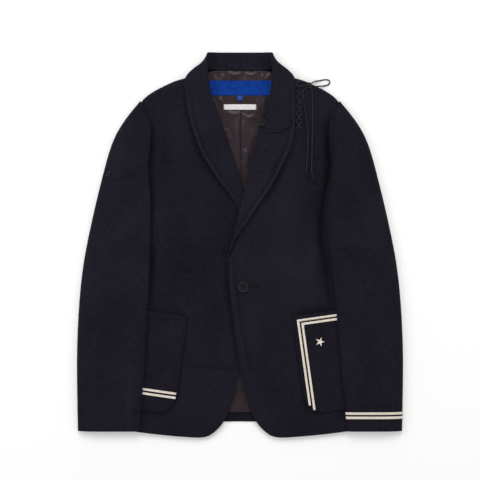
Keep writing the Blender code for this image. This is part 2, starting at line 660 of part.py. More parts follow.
def make_sleeve(side, below):
    """One sleeve, which rests on the table beside the body and laps over the front."""
    height = heights(side, *below)
    upper, lower, foot, outer = sleeve(side, height)
    lower[:, 1:-1] = settle(lower, height, LAY * 1.2, spread=1)[:, 1:-1]
    armhole = armhole_points()[-2::-1] + ARMHOLE_GAP
    start = np.concatenate([foot[:1], armhole, outer[:1]])
    share = np.linspace(0, 1, len(start))
    plan = across_rings(foot, outer, start, share)
    floor = np.dstack([plan, np.zeros(plan.shape[:2])])
    points = np.concatenate([upper, lower[:, 1:], floor, upper[:, :1]], axis=1)
    return wall("sleeve_" + NAMES[side], side, points, SLEEVE_WALL, "navy wool", tube=True), upper


# ---------------------------------------------------------------- pockets and trim


def pocket_point(across, along):
    """A plan point from a pocket's own frame."""
    cos, sin = math.cos(POCKET_TILT), math.sin(POCKET_TILT)
    out, down = POCKET_CORNER
    return np.stack([out + across * cos + along * sin, down - across * sin + along * cos], axis=-1)


def pocket_width(along):
    """Width to the pocket's outer edge, which runs down beside the side seam."""
    return (POCKET_OUTER - POCKET_CORNER[0] - along * math.sin(POCKET_TILT)) / math.cos(POCKET_TILT)


def rounding(along):
    """How far the pocket's edge has curved in at a distance along it."""
    past = np.maximum(0, along - (POCKET_HEIGHT - POCKET_ROUND))
    return POCKET_ROUND - np.sqrt(np.maximum(0, POCKET_ROUND**2 - past**2))


def pocket(side, below):
    """A patch pocket, slightly open at its mouth."""
    along = np.array([0, 14, 40, 80, 120, 160, 176, 187, 192.4, POCKET_HEIGHT])
    across = np.array([0, 0.06, 0.2, 0.4, 0.6, 0.8, 0.94, 1])
    start = rounding(along)[:, None]
    reach = pocket_width(along)[:, None] - start
    plan = pocket_point(start + (reach - start) * across, along[:, None] + 0 * across)
    gape = POCKET_GAPE * np.sin(np.pi * across) * np.exp(-along / 30)[:, None]
    return laid("pocket_" + NAMES[side], side, plan, below, POCKET_WALL, "navy wool", gape)


def straight_bands(side, below):
    """The double tape across the lower part of the right pocket."""
    made = []
    for number, (upper, lower) in enumerate(POCKET_BANDS, 1):
        along = np.array([[upper], [lower]])
        start = rounding(along) + 0.8
        reach = pocket_width(along) - 0.8
        across = start + (reach - start) * np.linspace(0, 1, 12)
        plan = pocket_point(across, along + 0 * across)
        name = f"tape_pocket_{NAMES[side]}_{number}"
        made.append(laid(name, side, plan, below, TRIM_WALL, "cream tape"))
    return made


def angled_bands(side, below):
    """The double tape along the mouth and front edge of the left pocket."""
    made = []
    for number, (near, far, end) in enumerate(ANGLE_BANDS, 1):
        edges = []
        for inset in (near, far):
            reach = float(pocket_width(inset)) - 0.8
            mouth = [(across, inset) for across in np.linspace(reach, inset, 10)]
            front_edge = [(inset, along) for along in np.linspace(inset, end, 14)[1:]]
            edges.append(mouth + front_edge)
        edges = np.array(edges)
        plan = pocket_point(edges[..., 0], edges[..., 1])
        name = f"tape_pocket_{NAMES[side]}_{number}"
        made.append(laid(name, side, plan, below, TRIM_WALL, "cream tape"))
    return made


def cuff_bands(side, upper):
    """The double tape round the cuff, made from the sleeve's points, moved out."""
    normals = grid_normals(upper)
    made = []
    for number in range(len(CUFF_BANDS)):
        row = upper.shape[0] - 1 - 2 * len(CUFF_BANDS) + 2 * number
        band = upper[row:row + 2] + normals[row:row + 2] * (LAY + TRIM_WALL)
        name = f"tape_cuff_{NAMES[side]}_{number + 1}"
        made.append(wall(name, side, band, TRIM_WALL, "cream tape"))
    return made


def grid_normals(points):
    """Unit normals of a grid, on the side that is up in its middle."""
    along = np.gradient(points, axis=0)
    across = np.gradient(points, axis=1)
    normal = np.cross(along, across)
    normal /= np.linalg.norm(normal, axis=2)[..., None]
    middle = normal[points.shape[0] // 2, points.shape[1] // 2, 2]
    return normal * (1 if middle > 0 else -1)


def star(side, below):
    """The small star of the left pocket, one point turned to the side."""
    turns = np.linspace(0, 2 * math.pi, 11)
    reach = np.where(np.arange(11) % 2 == 0, STAR_RADIUS, STAR_RADIUS * STAR_INNER)
    centre = pocket_point(*map(np.array, STAR_AT))
    rim = centre + np.column_stack([np.cos(turns), np.sin(turns)]) * reach[:, None]
    height = heights(side, *below)
    top = max(height(*point) for point in rim) + LAY + TRIM_WALL
    bm = bmesh.new()
    corners = [bm.verts.new(world(side, (*point, top))) for point in rim[:-1]]
    bm.faces.new(corners)
    bm.normal_update()
    if next(iter(bm.faces)).normal.z < 0:
        bmesh.ops.reverse_faces(bm, faces=bm.faces)
    mesh = bpy.data.meshes.new("star")
    bm.to_mesh(mesh)
    bm.free()
    obj = add("star", mesh, "cream tape")
    solid = obj.modifiers.new("Thickness", "SOLIDIFY")
    solid.thickness, solid.offset = TRIM_WALL * MM, -1
    return obj


def strip(columns, rows, left, right, top, bottom):
    """Plan points of a rectangle."""
    across = np.linspace(left, right, columns)
    down = np.linspace(top, bottom, rows)
    return np.dstack(np.meshgrid(across, down))


def label(name, size, columns, rows, below, colour):
    half = size["width"] / 2
    plan = strip(columns, rows, -half, half, size["top"], size["bottom"])
    return laid(name, LEFT, plan, below, TRIM_WALL, colour)


def collar_tab(below):
    """The rounded collar end that lies on the left lapel."""
    along, across = np.linspace(0, 1, 9), np.linspace(0, 1, 8)
    outer = curve([(102.4, 121), (101.5, 134), (97, 146.5), (86, 155.5), (72, 159.5)], along)
    inner = curve([(59, 114), (55, 122), (50, 133), (46, 146), (43.5, 156.5)], along)
    top = curve([inner[0], (78, 117), outer[0]], across)
    bottom = curve([inner[-1], (55, 160), outer[-1]], across)
    plan = patch(top, bottom, inner, outer)
    return laid("collar_tab", LEFT, plan, below, TAB_WALL, "navy wool")


def lapel_patch(below):
    """The small stitched patch on the left lapel."""
    along, across = np.linspace(0, 1, 7), np.linspace(0, 1, 6)
    outer = curve([(73.5, 196), (70, 213), (64, 229), (60, 233)], along)
    inner = curve([(37, 187), (33, 205), (27, 228), (29, 232.5)], along)
    top = curve([inner[0], (55, 191), outer[0]], across)
    bottom = curve([inner[-1], (44, 236), outer[-1]], across)
    plan = patch(top, bottom, inner, outer)
    return laid("lapel_patch", LEFT, plan, below, TRIM_WALL, "navy wool")


def button(name, size, below):
    """A dished button, turned about its own axis and lying on the cloth."""
    radius, thickness = size["diameter"] / 2, size["thickness"]
    profile = ((0, 0.55), (0.52, 0.55), (0.66, 0.72), (0.74, 0.98), (0.86, 1.0), (0.96, 0.84),
               (1.0, 0.55), (0.93, 0.2), (0.7, 0.0), (0, 0.0))
    bm = bmesh.new()
    corners = [bm.verts.new((r * radius * MM, 0, z * thickness * MM)) for r, z in profile]
    for a, b in zip(corners, corners[1:]):
        bm.edges.new((a, b))
    mesh = bpy.data.meshes.new(name)
    bm.to_mesh(mesh)
    bm.free()
    obj = add(name, mesh, "dark horn")
    turned = obj.modifiers.new("Turned", "SCREW")
    turned.steps = turned.render_steps = 20
    turned.use_merge_vertices = True
    turned.merge_threshold = 0.00002
    height = heights(LEFT, *below)
    out, down = size["at"]
    ring = [(out + radius * math.cos(a), down + radius * math.sin(a))
            for a in np.linspace(0, 2 * math.pi, 13)]
    rest = max(height(*point) or 0 for point in ring + [(out, down)])
    obj.location = world(LEFT, (out, down, rest + LAY))
    bpy.context.view_layer.update()
    return obj


# ---------------------------------------------------------------- laces


def on_cloth(height, plan):
    """Route points of a lace that lies on the cloth, and past its edge slopes to the table."""
    reach = LACE / 2
    ground = []
    for out, down in plan:
        near = [height(out + a, down + b) for a in (-reach, 0, reach) for b in (-reach, 0, reach)]
        ground.append(max([z + LAY for z in near if z is not None] + [0]) + reach)
    plan, ground = np.array(plan), np.array(ground)
    apart = np.linalg.norm(plan[:, None] - plan[None], axis=2)
    level = np.where(apart < LACE_WINDOW, ground[None], 0).max(axis=1)
    level = (level[None] - apart * LACE_SLOPE).max(axis=1)
    return np.column_stack([plan, level])


def lacing_plan():
    """The laced row beside the collar, from the knot down."""
    rows = []
    step = (LACING["last"] - LACING["first"]) / (2 * LACING["rungs"])
    for k in range(2 * LACING["rungs"] + 1):
        out = LACING["near"] if k % 2 else LACING["far"]
        drift = LACING["drift"] * k / (2 * LACING["rungs"])
        rows.append((out - drift, LACING["first"] + step * k))
    return rows


def laces(below):
    """The lacing, its knot, two loops and two hanging ends."""
    height = heights(LEFT, *below)

    def dense(plan, count):
        return curve(plan, np.linspace(0, 1, count))

    lacing = on_cloth(height, dense(lacing_plan(), 120))
    rungs = tube("lace_rungs", LEFT, lacing, LACE, "lace", spacing=1.9)
    height = heights(LEFT, *below, rungs)
    knot_z = max(height(KNOT[0] + a, KNOT[1] + b) or 0 for a in (-5, 0, 5) for b in (-5, 0, 5))
    bm = bmesh.new()
    bmesh.ops.create_uvsphere(bm, u_segments=12, v_segments=8, radius=1.0)
    for vert in bm.verts:
        vert.co.x *= 4.6 * MM
        vert.co.y *= 4.0 * MM
        vert.co.z *= 2.8 * MM
    mesh = bpy.data.meshes.new("lace_knot")
    bm.to_mesh(mesh)
    bm.free()
    knot = add("lace_knot", mesh, "lace")
    knot.location = world(LEFT, (*KNOT, knot_z + 2.8 + LAY))
    for name, plan in (
        ("lace_loop_outer", LOOP_RIGHT), ("lace_loop_inner", LOOP_LEFT),
        ("lace_end_1", END_ONE), ("lace_end_2", END_TWO),
    ):
        tube(name, LEFT, on_cloth(height, dense(plan, 160)), LACE, "lace")
    bpy.context.view_layer.update()


# ---------------------------------------------------------------- the blazer


def clear_scene():
    for obj in list(bpy.data.objects):
        bpy.data.objects.remove(obj, do_unlink=True)
    bpy.context.scene.collection.children.link(bpy.data.collections.new("blazer"))


def build():
    clear_scene()
    inside = lining([back(side) for side in (RIGHT, LEFT)])
    front_right = make_front(RIGHT)
    collar_right = make_collar(RIGHT, [front_right])
    front_left = make_front(LEFT, [front_right, collar_right])
    collar_left = make_collar(LEFT, [front_left], [front_right, collar_right])
    pocket_right = pocket(RIGHT, [front_right])
    pocket_left = pocket(LEFT, [front_left])
    right_trim = straight_bands(RIGHT, [pocket_right])
    left_trim = angled_bands(LEFT, [pocket_left])
    star(LEFT, [pocket_left])
    make_sleeve(RIGHT, [front_right, pocket_right, *right_trim])
    _, upper = make_sleeve(LEFT, [front_left, pocket_left, *left_trim])
    cuff_bands(LEFT, upper)
    tab = collar_tab([collar_left])
    lapel_patch([collar_left])
    label_main = label("label_main", LABEL_MAIN, 13, 3, [inside], "blue label")
    label("label_size", LABEL_SIZE, 2, 2, [inside], "blue label")
    label("label_care", LABEL_CARE, 9, 2, [inside], "white label")
    button("button_front", FRONT_BUTTON, [front_left])
    button("button_collar", COLLAR_BUTTON, [tab, collar_left])
    laces([front_left, collar_left])


build()
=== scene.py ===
# A one-button blazer with a shawl collar, laid out flat: cloth, stitching and trim on its frame
import math

import bmesh
import bpy
import numpy as np
from mathutils import Matrix, Vector, noise
from mathutils.bvhtree import BVHTree


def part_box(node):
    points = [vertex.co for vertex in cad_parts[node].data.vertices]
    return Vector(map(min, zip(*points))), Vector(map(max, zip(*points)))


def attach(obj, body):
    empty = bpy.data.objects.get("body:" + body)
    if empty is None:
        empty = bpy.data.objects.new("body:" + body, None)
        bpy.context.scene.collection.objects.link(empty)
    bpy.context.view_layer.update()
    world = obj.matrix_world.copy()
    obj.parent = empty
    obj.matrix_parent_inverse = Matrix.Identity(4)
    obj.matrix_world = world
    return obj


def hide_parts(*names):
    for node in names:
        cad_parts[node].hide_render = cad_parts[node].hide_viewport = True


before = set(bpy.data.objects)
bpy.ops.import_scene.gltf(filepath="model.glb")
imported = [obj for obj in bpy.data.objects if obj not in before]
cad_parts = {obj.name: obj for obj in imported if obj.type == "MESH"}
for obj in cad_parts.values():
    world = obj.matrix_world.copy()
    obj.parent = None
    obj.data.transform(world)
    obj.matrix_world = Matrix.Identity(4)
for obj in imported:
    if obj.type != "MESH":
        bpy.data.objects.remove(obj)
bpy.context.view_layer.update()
mm = 0.001
blazerLength = 753.3  # collar top to hem
left, right = 1, -1  # the wearer's sides
sideNames = {left: "left", right: "right"}
print("frame loaded:", len(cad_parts), "nodes")


# camera and light

view = {
    "pixel": 1.95,  # mm of the table for each pixel of the picture
    "width": 936.0,
    "centre": (0.0, 368.2),  # x, and down from the collar top
    "height": 3000.0,
    "focusHeight": 3.0,
    "sensor": 36.0,
}


def spot(x, down, z=0.0):  # garment millimetres to metres in the row frame
    return Vector((x * mm, (blazerLength / 2 - down) * mm, z * mm))


def fromPicture(*points):  # picture pixels to garment millimetres (x, down)
    return [((px - 240) * view["pixel"], (py - 51.2) * view["pixel"]) for px, py in points]


def pick(*objects):
    bpy.ops.object.select_all(action="DESELECT")
    for obj in objects:
        obj.select_set(True)
    bpy.context.view_layer.objects.active = objects[-1]


cameraData = bpy.data.cameras.new("camera")
cameraData.sensor_width = view["sensor"]
cameraData.lens = view["sensor"] * (view["height"] - view["focusHeight"]) / view["width"]
cameraData.clip_end = 20
camera = bpy.data.objects.new("camera", cameraData)
camera.location = spot(*view["centre"], view["height"])
bpy.context.collection.objects.link(camera)
bpy.context.scene.camera = camera

studio = {
    "world": (1.0, 1.0, 1.0, 1.0),
    "worldStrength": 0.55,
    "lamps": (  # name, place in metres, size, power, colour
        ("top light", (0.0, 1.5, 2.1), 1.3, 25, (1.0, 0.99, 0.98)),
        ("left light", (-1.9, 0.3, 1.5), 1.1, 13, (0.98, 0.99, 1.0)),
        ("right light", (1.9, -0.5, 1.7), 1.2, 8, (1.0, 0.99, 0.98)),
    ),
    "floor": 0.9,
    "glow": 0.12,
}
world = bpy.data.worlds.new("studio")
world.use_nodes = True
world.node_tree.nodes["Background"].inputs["Color"].default_value = studio["world"]
world.node_tree.nodes["Background"].inputs["Strength"].default_value = studio["worldStrength"]
bpy.context.scene.world = world
bpy.context.scene.view_settings.view_transform = "Standard"
for lampName, lampPlace, lampSize, lampPower, lampColour in studio["lamps"]:
    lampData = bpy.data.lights.new(lampName, "AREA")
    lampData.size, lampData.energy, lampData.color = lampSize, lampPower, lampColour
    lamp = bpy.data.objects.new(lampName, lampData)
    lamp.location = lampPlace
    lamp.rotation_euler = (-Vector(lampPlace)).to_track_quat("-Z", "Y").to_euler()
    bpy.context.collection.objects.link(lamp)
print("camera and light")


# materials

def newMaterial(name, colour, roughness=0.9, **sockets):
    material = bpy.data.materials.new(name)
    material.use_nodes = True
    shader = material.node_tree.nodes["Principled BSDF"]
    shader.inputs["Base Color"].default_value = (*colour, 1)
    shader.inputs["Roughness"].default_value = roughness
    for socket, value in sockets.items():
        shader.inputs[socket.replace("_", " ")].default_value = value
    material.diffuse_color = (*colour, 1)
    return material


class Knots:  # the nodes of one material, made and joined by short calls
    def __init__(self, material):
        self.tree = material.node_tree
        self.shader = self.tree.nodes["Principled BSDF"]
        self.coords = self.tree.nodes.new("ShaderNodeTexCoord").outputs["Object"]

    def add(self, kind, inputs=(), **settings):
        node = self.tree.nodes.new("ShaderNode" + kind)
        for name, value in settings.items():
            setattr(node, name, value)
        for name, value in dict(inputs).items():
            if isinstance(value, bpy.types.NodeSocket):
                self.tree.links.new(value, node.inputs[name])
            else:
                node.inputs[name].default_value = value
        return node

    def math(self, operation, a, b=0.0, c=0.0, clamp=False):
        node = self.add("Math", {0: a, 1: b, 2: c}, operation=operation, use_clamp=clamp)
        return node.outputs[0]

    def noise(self, scale, detail=2.0, roughness=0.5, vector=None):
        inputs = {"Vector": vector or self.coords, "Scale": scale, "Detail": detail,
                  "Roughness": roughness}
        return self.add("TexNoise", inputs).outputs["Fac"]

    def turned(self, angle=0.0, scale=(1, 1, 1), vector=None):
        inputs = {"Vector": vector or self.coords, "Rotation": (0, 0, angle), "Scale": scale}
        return self.add("Mapping", inputs).outputs[0]

    def split(self, vector=None):
        return self.add("SeparateXYZ", {0: vector or self.coords}).outputs

    def spread(self, value, low, high, start=0.0, end=1.0):
        inputs = {0: value, 1: low, 2: high, 3: start, 4: end}
        return self.add("MapRange", inputs).outputs[0]

    def mix(self, share, a, b):
        node = self.add("Mix", data_type="RGBA")
        for index, value in ((0, share), (6, a), (7, b)):
            if isinstance(value, bpy.types.NodeSocket):
                self.tree.links.new(value, node.inputs[index])
            else:
                node.inputs[index].default_value = value if index == 0 else (*value, 1)
        return node.outputs[2]

    def scaled(self, colour, gain):
        return self.add("VectorMath", {0: colour, "Scale": gain}, operation="SCALE").outputs[0]

    def wave(self, value, spacing):  # ribs or twists at even spacing, in metres
        return self.math("SINE", self.math("MULTIPLY", value, math.tau / spacing))

    def own(self, name):
        return self.add("Attribute", attribute_name=name).outputs["Fac"]

    def bump(self, height, distance, strength=1.0, under=None):
        inputs = {"Height": height, "Distance": distance, "Strength": strength}
        if under is not None:
            inputs["Normal"] = under
        return self.add("Bump", inputs).outputs[0]

    def join(self, socket, value):
        self.tree.links.new(value, self.shader.inputs[socket])


wool = {
    "dark": (0.0070, 0.0057, 0.0102),
    "light": (0.0144, 0.0125, 0.0202),
    "lint": (0.050, 0.047, 0.060),
    "fadedAndHighlit": (0.0146, 0.0146, 0.0212),
    "broad": (11, 3, 0.55),  # noises: scale, detail, roughness
    "fine": (110, 4, 0.65),
    "grain": (330, 3, 0.7),
    "blotches": (190, 4, 0.75),
    "specks": (620, 2, 0.7),
    "fibres": (1500, 3, 0.65),
    "shares": (0.30, 0.36, 0.70),  # of broad, fine and grain in the tone
    "toneRange": (0.52, 0.84),
    "blotchRange": (0.34, 0.70, 0.12, 1.0),
    "fadedAndHighlitReach": 1.2,
    "fadedAndHighlitShare": 0.55,
    "lintRange": (0.70, 0.80),
    "lintShare": 0.55,
    "twill": 0.0017,  # spacing of the diagonal ribs
    "twillTurn": math.radians(52),
    "ribDepth": 0.00016,
    "fibreDepth": 0.00022,
}


def woolMaterial(name, shade=1.0, blue=0.0, patches=(), fadedAndHighlit=()):
    # places (place, reach) in garment mm where the nap has worn paler and blotchy; on the left
    # front's chest these paler blotches also stand in for a painted highlight
    # patches: (point, point, factor), which shades the cloth to the left of each line
    material = newMaterial(name, wool["dark"], 0.92, Specular_IOR_Level=0.05, Sheen_Weight=0.03,
                           Sheen_Roughness=0.45)
    knots = Knots(material)
    broad, fine, grain = (knots.noise(*wool[size]) for size in ("broad", "fine", "grain"))
    broadShare, fineShare, grainShare = wool["shares"]
    tone = knots.math("MULTIPLY_ADD", fine, fineShare, knots.math("MULTIPLY", broad, broadShare))
    tone = knots.math("MULTIPLY_ADD", grain, grainShare, tone)
    tone = knots.spread(tone, *wool["toneRange"])
    dark = [channel * shade for channel in wool["dark"]]
    light = [channel * shade * (1 + blue * k) for k, channel in enumerate(wool["light"])]
    colour = knots.mix(tone, dark, light)
    x, y, _ = knots.split()
    for start, end, factor in patches:
        a, b = spot(*start), spot(*end)
        run = b - a
        across = knots.math("MULTIPLY_ADD", x, -run.y, knots.math("MULTIPLY", y, run.x))
        side = knots.math("GREATER_THAN", across, a.y * run.x - a.x * run.y)
        colour = knots.scaled(colour, knots.math("MULTIPLY_ADD", side, factor - 1, 1.0))
    if fadedAndHighlit:
        blotches = knots.spread(knots.noise(*wool["blotches"]), *wool["blotchRange"])
        fadedAndHighlitMask = 0.0
        for place, reach in fadedAndHighlit:
            far = knots.add("VectorMath", {0: knots.coords, 1: spot(*place, 14)},
                            operation="DISTANCE")
            near = knots.spread(far.outputs["Value"], 0.0, reach * wool["fadedAndHighlitReach"] * mm,
                                wool["fadedAndHighlitShare"], 0.0)
            fadedAndHighlitMask = knots.math("MAXIMUM", near, fadedAndHighlitMask)
        colour = knots.mix(knots.math("MULTIPLY", blotches, fadedAndHighlitMask), colour, wool["fadedAndHighlit"])
    lint = knots.spread(knots.noise(*wool["specks"]), *wool["lintRange"])
    colour = knots.mix(knots.math("MULTIPLY", lint, wool["lintShare"]), colour, wool["lint"])
    # the tone attribute scales the colour: painted highlight and painted shade along folds, edges,
    # seams and valleys
    knots.join("Base Color", knots.scaled(colour, knots.math("ADD", knots.own("tone"), 1.0)))
    ribs = knots.wave(knots.split(knots.turned(wool["twillTurn"]))[0], wool["twill"])
    relief = knots.bump(knots.noise(*wool["fibres"]), wool["fibreDepth"], 0.8)
    knots.join("Normal", knots.bump(ribs, wool["ribDepth"], 0.35, relief))
    return material


satin = {
    "dark": (0.015, 0.0085, 0.0120),
    "light": (0.032, 0.0185, 0.0250),
    "cloud": (26, 3, 0.6),
    "ripple": (120, 2, 0.5),
    "rippleDepth": 0.0012,
    "thread": 0.0009,
    "threadDepth": 0.00005,
}


def satinMaterial():
    material = newMaterial("plum satin", satin["dark"], 0.30, Specular_IOR_Level=0.22,
                           Anisotropic=0.45, Sheen_Weight=0.03, Sheen_Roughness=0.3,
                           Coat_Weight=0.02, Coat_Roughness=0.25)
    knots = Knots(material)
    cloud = knots.spread(knots.noise(*satin["cloud"]), 0.3, 0.7)
    colour = knots.mix(cloud, satin["dark"], satin["light"])
    # the tone attribute scales the colour: painted highlight on the puckers and painted shade in
    # the pleat, at the neck and near the hem
    knots.join("Base Color", knots.scaled(colour, knots.math("ADD", knots.own("tone"), 1.0)))
    threads = knots.wave(knots.split(knots.turned(0.12))[0], satin["thread"])
    ripples = knots.noise(*satin["ripple"], knots.turned(0.3, (1.0, 0.45, 1.0)))
    relief = knots.bump(ripples, satin["rippleDepth"], 0.5)
    knots.join("Normal", knots.bump(threads, satin["threadDepth"], 0.25, relief))
    return material


def ribbonMaterial(name, dark, light, rib, depth, roughness=0.8):
    # ribs cross the attribute "along"
    material = newMaterial(name, light, roughness, Specular_IOR_Level=0.06)
    knots = Knots(material)
    ribs = knots.wave(knots.own("along"), rib)
    threads = knots.wave(knots.own("across"), rib * 0.6)
    weave = knots.math("MULTIPLY_ADD", threads, 0.4, ribs)
    # the colour follows the weave, with painted shade between the ribs and threads, plus random
    # tone
    tone = knots.math("ADD", knots.spread(weave, -1.4, 1.4, 0.25, 0.85),
                      knots.spread(knots.noise(180, 3), 0.3, 0.7, -0.25, 0.25), clamp=True)
    knots.join("Base Color", knots.mix(tone, dark, light))
    fuzz = knots.bump(knots.noise(1400, 2), 0.0001, 0.4)
    knots.join("Normal", knots.bump(weave, depth, 0.7, fuzz))
    return material


def laceMaterial():
    material = newMaterial("lace cord", (0.05, 0.05, 0.055), 0.7, Specular_IOR_Level=0.1,
                           Sheen_Weight=0.03)
    knots = Knots(material)
    along = knots.math("MULTIPLY", knots.own("along"), math.tau / 0.0034)
    around = knots.math("MULTIPLY", knots.own("across"), 3.0)
    one = knots.math("SINE", knots.math("ADD", along, around))
    two = knots.math("SINE", knots.math("SUBTRACT", along, around))
    plait = knots.math("MAXIMUM", one, two)
    # the plait's crowns are painted lighter and the grooves between its strands painted with shade
    knots.join("Base Color", knots.mix(knots.spread(plait, -0.6, 1.0), (0.007, 0.0065, 0.0090),
                                       (0.036, 0.033, 0.042)))
    knots.join("Normal", knots.bump(plait, 0.00035, 0.9))
    return material


def threadMaterial(name, colour):
    material = newMaterial(name, colour, 0.7, Specular_IOR_Level=0.08)
    knots = Knots(material)
    twist = knots.wave(knots.split(knots.turned(0.8))[0], 0.0006)
    # the grooves of the twist carry painted shade
    twistShade = [channel * 0.6 for channel in colour]
    knots.join("Base Color", knots.mix(knots.spread(twist, -1, 1, 0.2, 1.0), twistShade, colour))
    knots.join("Normal", knots.bump(twist, 0.00008, 0.6))
    return material


def hornMaterial():
    material = newMaterial("dark horn", (0.03, 0.03, 0.036), 0.38, Specular_IOR_Level=0.16)
    knots = Knots(material)
    grain = knots.noise(320, 4, 0.6, knots.turned(0.7, (1.0, 0.35, 1.0)))
    knots.join("Base Color", knots.mix(knots.spread(grain, 0.35, 0.7), (0.009, 0.009, 0.011),
                                       (0.032, 0.031, 0.036)))
    knots.join("Roughness", knots.spread(grain, 0.3, 0.7, 0.30, 0.48))
    knots.join("Normal", knots.bump(grain, 0.00008, 0.5))
    return material


floorMaterial = newMaterial("white paper", (studio["floor"],) * 3, 0.95, Specular_IOR_Level=0.1,
                            Emission_Color=(1, 1, 1, 1), Emission_Strength=studio["glow"])
finish = {
    "front right": woolMaterial("wool front right", 1.0, 0.0, (
        ((-146, 303), (0, 303), 0.94), ((-111, 612), (6, 622), 0.97)),
        fadedAndHighlit=(((-60, 590), 120), ((-30, 700), 90), ((-80, 250), 60), ((-130, 150), 50))),
    # the paler blotches round the left front's chest are also a painted highlight
    "front left": woolMaterial("wool front left", 1.06, 0.02, (((47, 306), (0, 430), 0.93),),
                               fadedAndHighlit=(((70, 400), 150), ((40, 520), 90), ((90, 330), 110),
                                      ((30, 690), 80))),
    "collar right": woolMaterial("wool collar right", 1.06, 0.0, (((-52, 205), (-20, 190), 0.95),),
                                 fadedAndHighlit=(((-85, 130), 60), ((-50, 205), 50))),
    "collar left": woolMaterial("wool collar left", 1.08,
                                fadedAndHighlit=(((70, 200), 70), ((80, 120), 50), ((30, 280), 60))),
    "sleeve right": woolMaterial("wool sleeve right", 1.03, 0.0,
                                 (((-263, 262), (-173, 240), 0.95),),
                                 fadedAndHighlit=(((-215, 300), 60), ((-285, 430), 70), ((-250, 700), 60))),
    "sleeve left": woolMaterial("wool sleeve left", fadedAndHighlit=(((260, 330), 60),)),
    "pocket": woolMaterial("wool pocket", fadedAndHighlit=(((-140, 560), 50),)),
    "tab": woolMaterial("wool tab", 1.12, fadedAndHighlit=(((75, 140), 40),)),
    "patch": woolMaterial("wool patch", 1.10, 0.02, fadedAndHighlit=(((50, 215), 40),)),
    "back": woolMaterial("wool back", 0.97),
    "lining": satinMaterial(),
    "cream": ribbonMaterial("cream tape", (0.66, 0.57, 0.47), (0.98, 0.90, 0.80), 0.0011, 0.00018),
    "blue": ribbonMaterial("blue label", (0.0010, 0.018, 0.14), (0.0035, 0.055, 0.36),
                           0.0008, 0.00008, 0.55),
    "pale blue": ribbonMaterial("pale blue label", (0.008, 0.045, 0.21), (0.025, 0.115, 0.46),
                                0.0008, 0.00008, 0.55),
    "white": ribbonMaterial("white label", (0.60, 0.57, 0.58), (0.88, 0.85, 0.86),
                            0.0008, 0.00008, 0.6),
    "lace": laceMaterial(),
    "navy thread": threadMaterial("navy thread", (0.0105, 0.0095, 0.0145)),
    "dark thread": threadMaterial("dark thread", (0.006, 0.006, 0.009)),
    "grey thread": threadMaterial("grey thread", (0.034, 0.033, 0.038)),
    "cream thread": threadMaterial("cream thread", (0.80, 0.72, 0.62)),
    "white thread": threadMaterial("white thread", (0.22, 0.21, 0.21)),
    "horn": hornMaterial(),
    # painted shade for the inside of buttonhole slits and holes
    "gap": newMaterial("painted shade in openings", (0.0030, 0.0027, 0.0040), 1.0, Specular_IOR_Level=0.05),
    # painted shade for the bottoms of seam grooves
    "seamShade": newMaterial("painted seam shade", (0.0062, 0.0053, 0.0088), 1.0, Specular_IOR_Level=0.05),
    "tip": newMaterial("lace tip", (0.006, 0.006, 0.008), 0.5, Specular_IOR_Level=0.1),
    "dish": newMaterial("dark horn dish", (0.0105, 0.0105, 0.0130), 0.55, Specular_IOR_Level=0.1),
    # painted shade for the fold of the lining's pleat
    "pleatShade": newMaterial("painted pleat shade", (0.0075, 0.0045, 0.0062), 0.8, Specular_IOR_Level=0.1),
    "pale thread": threadMaterial("pale thread", (0.022, 0.021, 0.029)),
}

bpy.ops.mesh.primitive_plane_add(size=9, location=(0, 0, -0.0002))
floor = bpy.context.object
floor.name = "floor"
floor.data.materials.append(floorMaterial)
print("materials and floor")


# cloth from the solids of the frame

def coordinates(obj):
    points = np.empty(len(obj.data.vertices) * 3)
    obj.data.vertices.foreach_get("co", points)
    return points.reshape(-1, 3)


def setCoordinates(obj, points):
    obj.data.vertices.foreach_set("co", points.astype(np.float32).ravel())
    obj.data.update()


def garment(points):  # metres to garment mm: x, down, z
    return np.column_stack([points[:, 0], blazerLength * mm / 2 - points[:, 1], points[:, 2]]) / mm


def giveAttribute(data, name, values):
    layer = data.attributes.new(name, "FLOAT", "POINT")
    layer.data.foreach_set("value", np.asarray(values, np.float32))


def treeOf(pieces):
    corners, faces = [], []
    for piece in pieces:
        start = len(corners)
        corners += [v.co.copy() for v in piece.data.vertices]
        faces += [[start + i for i in polygon.vertices] for polygon in piece.data.polygons]
    return BVHTree.FromPolygons(corners, faces)


rims = {
    "angle": math.radians(48),  # sharper edges are creased
    "short": 1.15,  # edges up to this times a rim's width are its corners
    "corner": 0.9,
    "middle": 1.2,  # mm from the centre seam within which rims stay sharp
}


def holdRims(piece, widest, edgeHold):
    # creases the rims of the cut cloth, so that smoothing keeps its outline and rounds its edges
    sheet = bmesh.new()
    sheet.from_mesh(piece.data)
    layer = sheet.edges.layers.float.new("crease_edge")
    sharp = {edge.index for edge in sheet.edges if edge.calc_face_angle(0) > rims["angle"]}
    for face in sheet.faces:
        edges = [edge for edge in face.edges if edge.index in sharp]
        longest = max(edge.calc_length() for edge in face.edges)
        if len(edges) >= 2 and face.calc_area() / longest < widest * mm:
            for edge in edges:
                short = edge.calc_length() < widest * mm * rims["short"]
                middle = any(abs(corner.co.x) < rims["middle"] * mm for corner in edge.verts)
                edge[layer] = 1.0 if middle else rims["corner"] if short else edgeHold
    sheet.to_mesh(piece.data)
    sheet.free()


